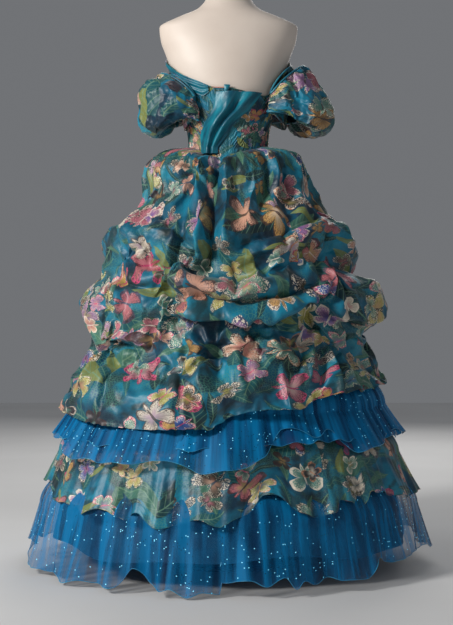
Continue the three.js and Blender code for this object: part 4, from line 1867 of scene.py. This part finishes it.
@dataclass
class Overskirt:
    """The printed overskirt, caught up in puffs and festoons over the lining."""

    wardrobe: Wardrobe
    columns: int = 300
    rows: int = 82
    settling: Settling = Settling(26, 0.15, 0.028, 0.05, 0.04, 0.05)
    fold_scale: float = 1.35
    fold_hold: float = 0.1
    lift: float = 0.002
    offset: float = 0.0086
    hem_flare: float = 0.45
    hem_z: float = 0.430
    top_z: float = 1.127
    side_blend: float = 9
    pull_width: float = 0.036
    pleat_height: float = 0.0125
    pleat_reach: float = 0.062
    pleat_core: float = 0.014
    clear_below: float = 1.0
    waist_hold_z: float = 1.045
    hem_hold: float = 0.35
    crumples: tuple = ((0.046, -0.002, 6.1), (0.02, -0.0009, 12.9))
    profile: tuple = (
        (430, 456, 450, 0.95, 0.0, 1.0), (506, 428, 420, 0.95, 0.0, 0.6), (582, 388, 392, 0.95, 0.0, 0.2),
        (648, 378, 378, 0.95, 0.0, 0.0), (718, 392, 414, 0.95, 0.0, 0.0), (770, 384, 406, 0.95, 0.0, 0.0),
        (812, 340, 330, 0.95, 0.0, 0.0), (850, 324, 345, 0.94, 0.0, 0.0), (904, 314, 350, 0.94, 0.0, 0.0),
        (952, 268, 322, 0.93, 0.0, 0.0), (992, 222, 238, 0.92, 0.0, 0.0),
        (1050, 230, 214, 0.90, 0.1, 0.0), (1104, 194, 197, 0.87, 0.35, 0.0),
        (1122, 152, 154, 0.84, 0.7, 0.0), (1127, 112, 112, 0.82, 1.0, 0.0),
    )
    hem: tuple = (
        (-90, 424), (-80, 437), (-68, 436), (-60, 462), (-40, 476), (-15, 482), (10, 478), (35, 452),
        (60, 422), (90, 402), (120, 412), (150, 438), (180, 426), (210, 406), (229, 394), (250, 390),
        (264, 394), (270, 424),
    )
    clearance: tuple = (
        (380, 458), (425, 444), (470, 426), (500, 405), (525, 384), (585, 350), (816, 274), (985, 202),
        (1010, 196),
    )
    pick_ups: tuple[PickUp, ...] = tuple(
        PickUp(*row)
        for row in (
            (-47, 795, 30, 9), (-55, 672, 34, 11), (246, 750, 34, 9), (-80, 626, 22, 7),
            (264, 585, 22, 7), (211, 600, 26, 9), (216, 806, 24, 9), (248, 1040, 14, 7), (32, 790, 30, 9),
            (62, 660, 32, 9), (98, 760, 34, 9), (118, 610, 28, 9), (150, 800, 28, 9), (0, 612, 24, 7),
            (172, 655, 24, 7),
        )
    )

    def radius(self, z: Array) -> Array:
        """The usual reach at a height, for measuring along the cloth."""
        return (table_column(self.profile, 1, z) + table_column(self.profile, 2, z)) / 2 * MM

    def smooth_place(self, angle: Array, level: Array, pulled: Array | float) -> Array:
        """The tier before its folds: a puffed oval hung from the waist seam.

        Args:
            angle: plan angles.
            level: nominal heights, before the waist seam and the hem move them.
            pulled: how far the cloth is pulled in, in metres.

        Returns:
            Points with xyz in the last axis.
        """
        rows = self.profile
        waist = table_column(rows, 4, level)
        low = table_column(rows, 5, level)
        hem_move = edge_height(self.hem, angle) - self.hem_z
        z = level + waist * (edge_height(WAIST_SEAM, angle) - WAIST_Z) + low * hem_move
        out = -self.hem_flare * low * hem_move - pulled
        sides = (table_column(rows, 1, level) * MM, table_column(rows, 2, level) * MM)
        return oval_place(angle, z, sides, table_column(rows, 3, level), out)

    def fold_relief(self, arc: Array, z: Array) -> tuple[Array, Array]:
        """Rise and lean of every listed fold at places on the unrolled back.

        Args:
            arc: distance along the cloth from the centre line.
            z: heights.

        Returns:
            The rise and the lean in metres.
        """
        rise, lean = np.zeros_like(arc), np.zeros_like(arc)
        for fold in BACK_FOLDS:
            points = []
            for across, height in fold.line:
                level = np.array(height * MM)
                reach = float(self.radius(level))
                turn = math.asin(max(-0.97, min(0.97, across * MM / reach)))
                points.append((turn * reach, height * MM))
            nearest = np.full_like(arc, 9.0)
            for (x0, z0), (x1, z1) in zip(points, points[1:]):
                dx, dz = x1 - x0, z1 - z0
                share = ((arc - x0) * dx + (z - z0) * dz) / (dx * dx + dz * dz)
                share = np.clip(share, 0, 1)
                gap = np.hypot(arc - x0 - share * dx, z - z0 - share * dz)
                nearest = np.minimum(nearest, gap)
            soft = np.exp(-((nearest / (fold.width * MM * 1.15)) ** 1.3))
            crisp = np.exp(-nearest / (fold.width * MM * 0.9))
            profile = soft if fold.rise > 0 else crisp
            rise += fold.rise * MM * profile
            lean += fold.lean * MM * profile
        return rise, lean

    def gathers(self, angle: Array, z: Array) -> tuple[Array, Array]:
        """The pull of each pick-up and the pleats that fan from it.

        Args:
            angle: plan angles.
            z: heights.

        Returns:
            The pull inwards and the pleats' rise, in metres.
        """
        pull, pleats = np.zeros_like(z), np.zeros_like(z)
        reach = self.radius(z)
        for index, spot in enumerate(self.pick_ups):
            turn = np.radians(wrap(angle - spot.angle))
            dx, dz = turn * reach, z - spot.z * MM
            away = np.hypot(dx, dz)
            pull += spot.pull * MM * bump(away, self.pull_width)
            bearing = np.arctan2(dz, dx) * spot.pleats + index * 1.7 + away * 14
            fade = np.exp(-away / self.pleat_reach) * (1 - np.exp(-((away / self.pleat_core) ** 2)))
            pleats += self.pleat_height * np.sin(bearing) * fade
        return pull, pleats

    def shape(self, u: Array, v: Array) -> Array:
        """The tier with all its folds.

        Args:
            u: share of the way round.
            v: share of the way down.

        Returns:
            Points with xyz in the last axis.
        """
        angle = u * 360
        level = self.top_z + (self.hem_z - self.top_z) * v
        start = self.smooth_place(angle, level, 0.0)
        pull, pleats = self.gathers(angle, start[..., 2])
        base = self.smooth_place(angle, level, pull)
        z = base[..., 2]
        reach = self.radius(z)
        back = np.radians(wrap(angle + 90))
        front = np.radians(wrap(-(angle - 90)))
        seen_rise, seen_lean = self.fold_relief(back * reach, z)
        far_rise, far_lean = self.fold_relief(front * reach * 1.06 + 0.02, z - 0.012)
        nearness = 1 / (1 + np.exp((np.abs(back) - math.pi / 2) * self.side_blend))
        rise = seen_rise * nearness + far_rise * (1 - nearness)
        lean = seen_lean * nearness + far_lean * (1 - nearness)
        place = base * np.array([1.0, 1.0, 0.7])
        warp = soft_noise(place, 0.12, 4.0)
        bent = place + np.stack([0.03 * warp, 0.03 * warp, 0.02 * warp], axis=-1)
        crush = 0.003 * crease_noise(bent, 0.08, 11.0)
        ease = np.clip(v * 14, 0, 1) ** 0.8
        waves = 0.008 * v * np.sin(np.radians(angle) * 13 + 0.6 + 1.2 * np.sin(np.radians(angle) * 2 + 0.6))
        columns = 0.006 * np.clip(1 - v * 3.2, 0, 1) * np.sin(np.radians(angle) * 31 + 2 * warp)
        normal = grid_normals(base, closed=True)
        out = (rise * self.fold_scale + pleats * self.fold_scale + crush + waves + columns) * ease
        points = base + normal * out[..., None]
        points[..., 2] -= lean * ease
        top = body_place(angle, edge_height(WAIST_SEAM, angle) + self.lift, self.offset)
        join = np.clip(1 - v * 60, 0, 1)[..., None]
        return points * (1 - join) + top * join

    def keep_clear(self, points: Array) -> Array:
        """Moves points outwards where they would lie in the lining or the sheer tier.

        Args:
            points: places with xyz in the last axis.

        Returns:
            The corrected places.
        """
        reach = np.hypot(points[..., 0], points[..., 1] / SKIRT_RATIO)
        least = table_column(self.clearance, 1, points[..., 2]) * MM
        grow = np.maximum(least / np.maximum(reach, 1e-6), 1)
        grow = np.where(points[..., 2] < self.clear_below, grow, 1)
        fixed = points.copy()
        fixed[..., :2] *= grow[..., None]
        return fixed

    def pins(self, cloth: Object) -> Array:
        """How firmly each vertex is held: the waist, the pick-ups, the laid folds and the hem.

        Args:
            cloth: the tier.

        Returns:
            From 0 to 1 for each vertex.
        """
        places = read_places(cloth)
        angle = np.degrees(np.arctan2(places[:, 1] / SKIRT_RATIO, places[:, 0]))
        z = places[:, 2]
        held = np.clip((z - self.waist_hold_z) / 0.03, 0, 1)
        reach = self.radius(z)
        for spot in self.pick_ups:
            turn = np.radians(wrap(angle - spot.angle))
            held = np.maximum(held, bump(np.hypot(turn * reach, z - spot.z * MM), 0.013))
        back = np.radians(wrap(angle + 90))
        rise, _lean = self.fold_relief(back * reach, z)
        folded = self.fold_hold * np.clip(np.abs(rise) / 0.016, 0, 1) * (np.abs(back) < 1.5)
        held = np.maximum(held, folded)
        low = edge_height(self.hem, angle)
        return np.maximum(held, self.hem_hold * bump(z - low, 0.012))

    def build(self) -> None:
        flat = gore_map(0.36, 0.92, 0.13)

        def shape(u: Array, v: Array) -> Array:
            """The tier with its folds, clear of the lining."""
            return self.keep_clear(self.shape(u, v))

        cloth = sheet_object("overskirt", self.columns, self.rows, shape, flat, True)
        self.settling.settle(cloth, self.pins(cloth))
        refine(cloth)
        crumple(cloth, self.crumples)
        write_places(cloth, self.keep_clear(read_places(cloth)))
        ride_and_dress(cloth, self.wardrobe.printed, gore_nodes("overskirt_panel"))


@dataclass(frozen=True)
class Tier:
    """One flounce: a ring of cloth sewn to the lining and hanging in uneven waves.

    Attributes:
        name: the piece's name.
        nodes: the stem of the construction panels that it replaces, or nothing.
        seam_z: height of its seam in metres.
        middle: height and reach of its middle in metres.
        reach: reach of its hem in metres.
        hem: the hem's height in millimetres at plan angles.
        waves: how many waves run round its hem.
        swing: how far the waves swing in metres.
        phase: where the waves start.
        flat: the size it was cut to in metres.
        bead: radius of its rolled hem in metres, or nought.
    """

    name: str
    nodes: str
    seam_z: float
    middle: tuple[float, float]
    reach: float
    hem: tuple
    waves: int
    swing: float
    phase: float
    flat: tuple[float, float]
    bead: float


@dataclass
class Flounces:
    """The sheer and printed flounces under the overskirt."""

    wardrobe: Wardrobe
    columns: int = 600
    rows: int = 56
    crush_height: float = 0.0035
    seam_lift: float = 0.006
    print_reach: float = 0.49
    tiers: tuple[Tier, ...] = (
        Tier(
            "upper_sheer_under",
            "",
            0.515,
            (0.430, 0.419),
            0.468,
            (
                (-90, 346), (-60, 358), (-30, 352), (30, 344), (90, 350), (150, 342), (210, 350),
                (240, 340), (270, 346),
            ),
            21,
            0.007,
            1.9,
            (3.0, 0.19),
            0.0007,
        ),
        Tier(
            "upper_sheer_top",
            "upper_sheer_flounce_panel",
            0.520,
            (0.425, 0.426),
            0.482,
            (
                (-103, 306), (-97, 292), (-91, 296), (-85, 311), (-80, 324), (-73, 392), (-67, 384),
                (-62, 372), (-57, 382), (-52, 352), (-47, 328), (-34, 348), (-23, 366), (0, 345),
                (40, 330), (80, 318), (120, 330), (160, 342), (188, 352), (205, 338), (221, 306),
                (240, 306), (248, 320), (257, 306),
            ),
            15,
            0.010,
            0.4,
            (3.1, 0.24),
            0.0008,
        ),
        Tier(
            "printed_flounce",
            "printed_flounce_panel",
            0.372,
            (0.300, 0.462),
            0.506,
            (
                (-92, 170), (-85, 193), (-80, 236), (-76, 234), (-70, 193), (-66, 181), (-60, 187),
                (-57, 222), (-53, 207), (-49, 195), (-44, 228), (-30, 205), (-10, 190), (10, 215),
                (30, 188), (50, 210), (70, 184), (90, 205), (110, 182), (130, 208), (150, 186),
                (170, 212), (190, 222), (202, 225), (210, 195), (219, 186), (225, 172), (231, 197),
                (239, 173), (245, 190), (252, 155), (257, 174), (262, 180), (268, 170),
            ),
            19,
            0.012,
            2.1,
            (3.3, 0.24),
            0.0008,
        ),
        Tier(
            "hem_sheer_flounce",
            "hem_sheer_flounce_panel",
            0.250,
            (0.160, 0.512),
            0.544,
            (
                (-92, 40), (-85, 42), (-81, 32), (-76, 53), (-73, 20), (-71, 36), (-68, 26), (-63, 43),
                (-59, 27), (-51, 36), (-46, 68), (-38, 50), (-31, 64), (-18, 60), (0, 40), (20, 58),
                (40, 30), (60, 52), (80, 28), (100, 50), (120, 26), (140, 54), (160, 34), (180, 58),
                (191, 60), (199, 32), (207, 14), (218, 24), (222, 12), (233, 18), (238, 14), (242, 30),
                (245, 60), (250, 30), (253, 14), (256, 24), (260, 7), (263, 12),
            ),
            17,
            0.013,
            5.0,
            (3.5, 0.24),
            0.0009,
        ),
    )

    def place(self, tier: Tier, lining: BaseSkirt, angle: Array, v: Array) -> Array:
        """A place on a flounce.

        Args:
            tier: the flounce's sizes.
            lining: the skirt it is sewn to.
            angle: plan angles.
            v: share of the way from the seam to the hem.

        Returns:
            Points with xyz in the last axis.
        """
        turn = np.radians(angle)
        wander = 1.4 * np.sin(2 * turn + tier.phase) + 0.8 * np.sin(5 * turn + 2 * tier.phase)
        wave = np.sin(tier.waves * turn + tier.phase + wander)
        second = np.sin(tier.waves * 2.0 * turn + 2.3 * tier.phase + 1.6 * wander)
        fine = np.sin(tier.waves * 5.0 * turn + 1.1 * tier.phase + 2.2 * wander)
        hem_z = edge_height(tier.hem, angle) + 0.004 * second
        mid_z, mid_reach = tier.middle
        seam = lining.place(angle, np.full_like(angle, tier.seam_z), self.seam_lift)
        reach_seam = np.hypot(seam[..., 0], seam[..., 1] / SKIRT_RATIO)
        usual = float(np.mean([row[1] for row in tier.hem])) * MM
        z = tier.seam_z + (hem_z - tier.seam_z) * v
        share = np.clip((tier.seam_z - z) / (tier.seam_z - usual), 0, 1.6)
        middle = (tier.seam_z - mid_z) / (tier.seam_z - usual)
        rise = mid_reach - reach_seam
        fall = tier.reach - mid_reach
        reach = np.where(
            share < middle,
            reach_seam + rise * np.sin(np.clip(share / middle, 0, 1) * np.pi / 2) ** 0.9,
            mid_reach + fall * (share - middle) / (1 - middle),
        )
        depth = np.clip(share, 0, 1.2)
        swing = tier.swing * (wave * depth**2.1 + 0.45 * second * depth**1.6 + 0.16 * fine * np.sqrt(depth))
        reach = reach + swing
        ring = np.stack([np.cos(turn) * 0.5, np.sin(turn) * 0.5, z * 0.3], axis=-1)
        crush = soft_noise(ring, 0.028, tier.phase)
        reach = reach + self.crush_height * crush * depth
        return np.stack([reach * np.cos(turn), reach * SKIRT_RATIO * np.sin(turn), z], axis=-1)

    def build(self, lining: BaseSkirt) -> None:
        """Builds each flounce with its rolled hem.

        Args:
            lining: the skirt they are sewn to.
        """
        finishes = {
            "upper_sheer_under": (self.wardrobe.inner_tulle, Slot.TULLE),
            "upper_sheer_top": (self.wardrobe.outer_tulle, Slot.TULLE),
            "printed_flounce": (self.wardrobe.printed, Slot.PRINTED),
            "hem_sheer_flounce": (self.wardrobe.hem_tulle, Slot.TULLE),
        }
        for tier in self.tiers:
            finish, slot = finishes[tier.name]

            def shape(u: Array, v: Array, tier: Tier = tier) -> Array:
                """The flounce from its seam to its hem."""
                return self.place(tier, lining, u * 360, v)

            flat = gore_map(self.print_reach, tier.flat[1], tier.phase)
            cloth = sheet_object(tier.name, self.columns, self.rows, shape, flat, True)
            nodes = gore_nodes(tier.nodes) if tier.nodes else []
            ride_and_dress(cloth, finish, nodes)
            angle = np.linspace(0, 360, self.columns, endpoint=False)
            line = self.place(tier, lining, angle, np.ones_like(angle))
            bead = edge_bead(f"{tier.name}_hem", line, tier.bead)
            edge = self.wardrobe.printed if slot is Slot.PRINTED else self.wardrobe.rolled_edge
            ride_and_dress(bead, edge)


# The studio


@dataclass
class Studio:
    """Camera, plain pale floor and soft lights."""

    camera_place: tuple[float, float, float] = (-0.0055, -3.5, 0.674)
    lens: float = 73.3
    sensor: float = 36.0
    aim: tuple[float, float, float] = (0.0, 0.0, 0.75)
    floor_half: float = 6.0
    air: tuple[float, float, float, float] = (0.82, 0.85, 0.9, 1.0)
    air_strength: float = 0.2

    def camera(self) -> None:
        """Sets the level camera behind the gown."""
        data = bpy.data.cameras.new("studio_camera")
        data.lens = self.lens
        data.sensor_fit = "VERTICAL"
        data.sensor_height = self.sensor
        data.dof.use_dof = False
        made = bpy.data.objects.new("studio_camera", data)
        made.location = self.camera_place
        made.rotation_euler = (math.radians(90), 0, 0)
        bpy.context.scene.collection.objects.link(made)
        bpy.context.scene.camera = made

    def light(self, name: str, place: Sequence[float], size: float, power: float, tint: Colour) -> None:
        """Hangs one soft area light that faces the gown.

        Args:
            name: the light's name.
            place: where it hangs.
            size: its side in metres.
            power: its power in watts.
            tint: its colour.
        """
        data = bpy.data.lights.new(name, "AREA")
        data.shape, data.size, data.energy, data.color = "SQUARE", size, power, tint[:3]
        made = bpy.data.objects.new(name, data)
        made.location = place
        aim = Vector(self.aim) - Vector(place)
        made.rotation_euler = aim.to_track_quat("-Z", "Y").to_euler()
        bpy.context.scene.collection.objects.link(made)

    def floor(self) -> None:
        """Lays the plain pale floor."""
        grid = bmesh.new()
        bmesh.ops.create_grid(grid, x_segments=1, y_segments=1, size=self.floor_half)
        mesh = bpy.data.meshes.new("floor")
        grid.to_mesh(mesh)
        grid.free()
        made = bpy.data.objects.new("floor", mesh)
        bpy.context.scene.collection.objects.link(made)
        material, w, shader = new_material("pale_floor")
        cloud = w.noise(w.node("ShaderNodeTexCoord").outputs["Object"], 1.5, 2.0)
        pale = [(0.3, srgb(214, 214, 214)), (0.7, srgb(222, 222, 222))]
        w.feed(shader.inputs["Base Color"], w.ramp(cloud, pale))
        set_shader(shader, Roughness=0.8)
        mesh.materials.append(material)

    def build(self) -> None:
        """Builds the whole studio."""
        self.camera()
        self.floor()
        world = bpy.data.worlds.new("studio_air")
        world.use_nodes = True
        set_shader(world.node_tree.nodes["Background"], Color=self.air, Strength=self.air_strength)
        bpy.context.scene.world = world
        bpy.context.scene.view_settings.view_transform = "Standard"
        self.light("key", (-2.9, -2.3, 2.3), 0.7, 135, (1.0, 0.98, 0.95, 1.0))
        self.light("fill", (2.6, -2.6, 1.4), 2.2, 5, (0.9, 0.95, 1.0, 1.0))
        self.light("front", (0.6, 3.2, 2.4), 2.4, 50, (1.0, 0.98, 0.95, 1.0))


def main() -> None:
    """Builds every sub-assembly in order."""
    logging.basicConfig(level=logging.INFO, format="%(name)s: %(message)s")
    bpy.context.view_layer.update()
    Studio().build()
    wardrobe = Wardrobe.build()
    DressForm(wardrobe).build()
    Bodice(wardrobe).build()
    Sleeves(wardrobe).build()
    lining = BaseSkirt(wardrobe)
    lining.build()
    Flounces(wardrobe).build(lining)
    Overskirt(wardrobe).build()


if __name__ == "__main__":
    main()
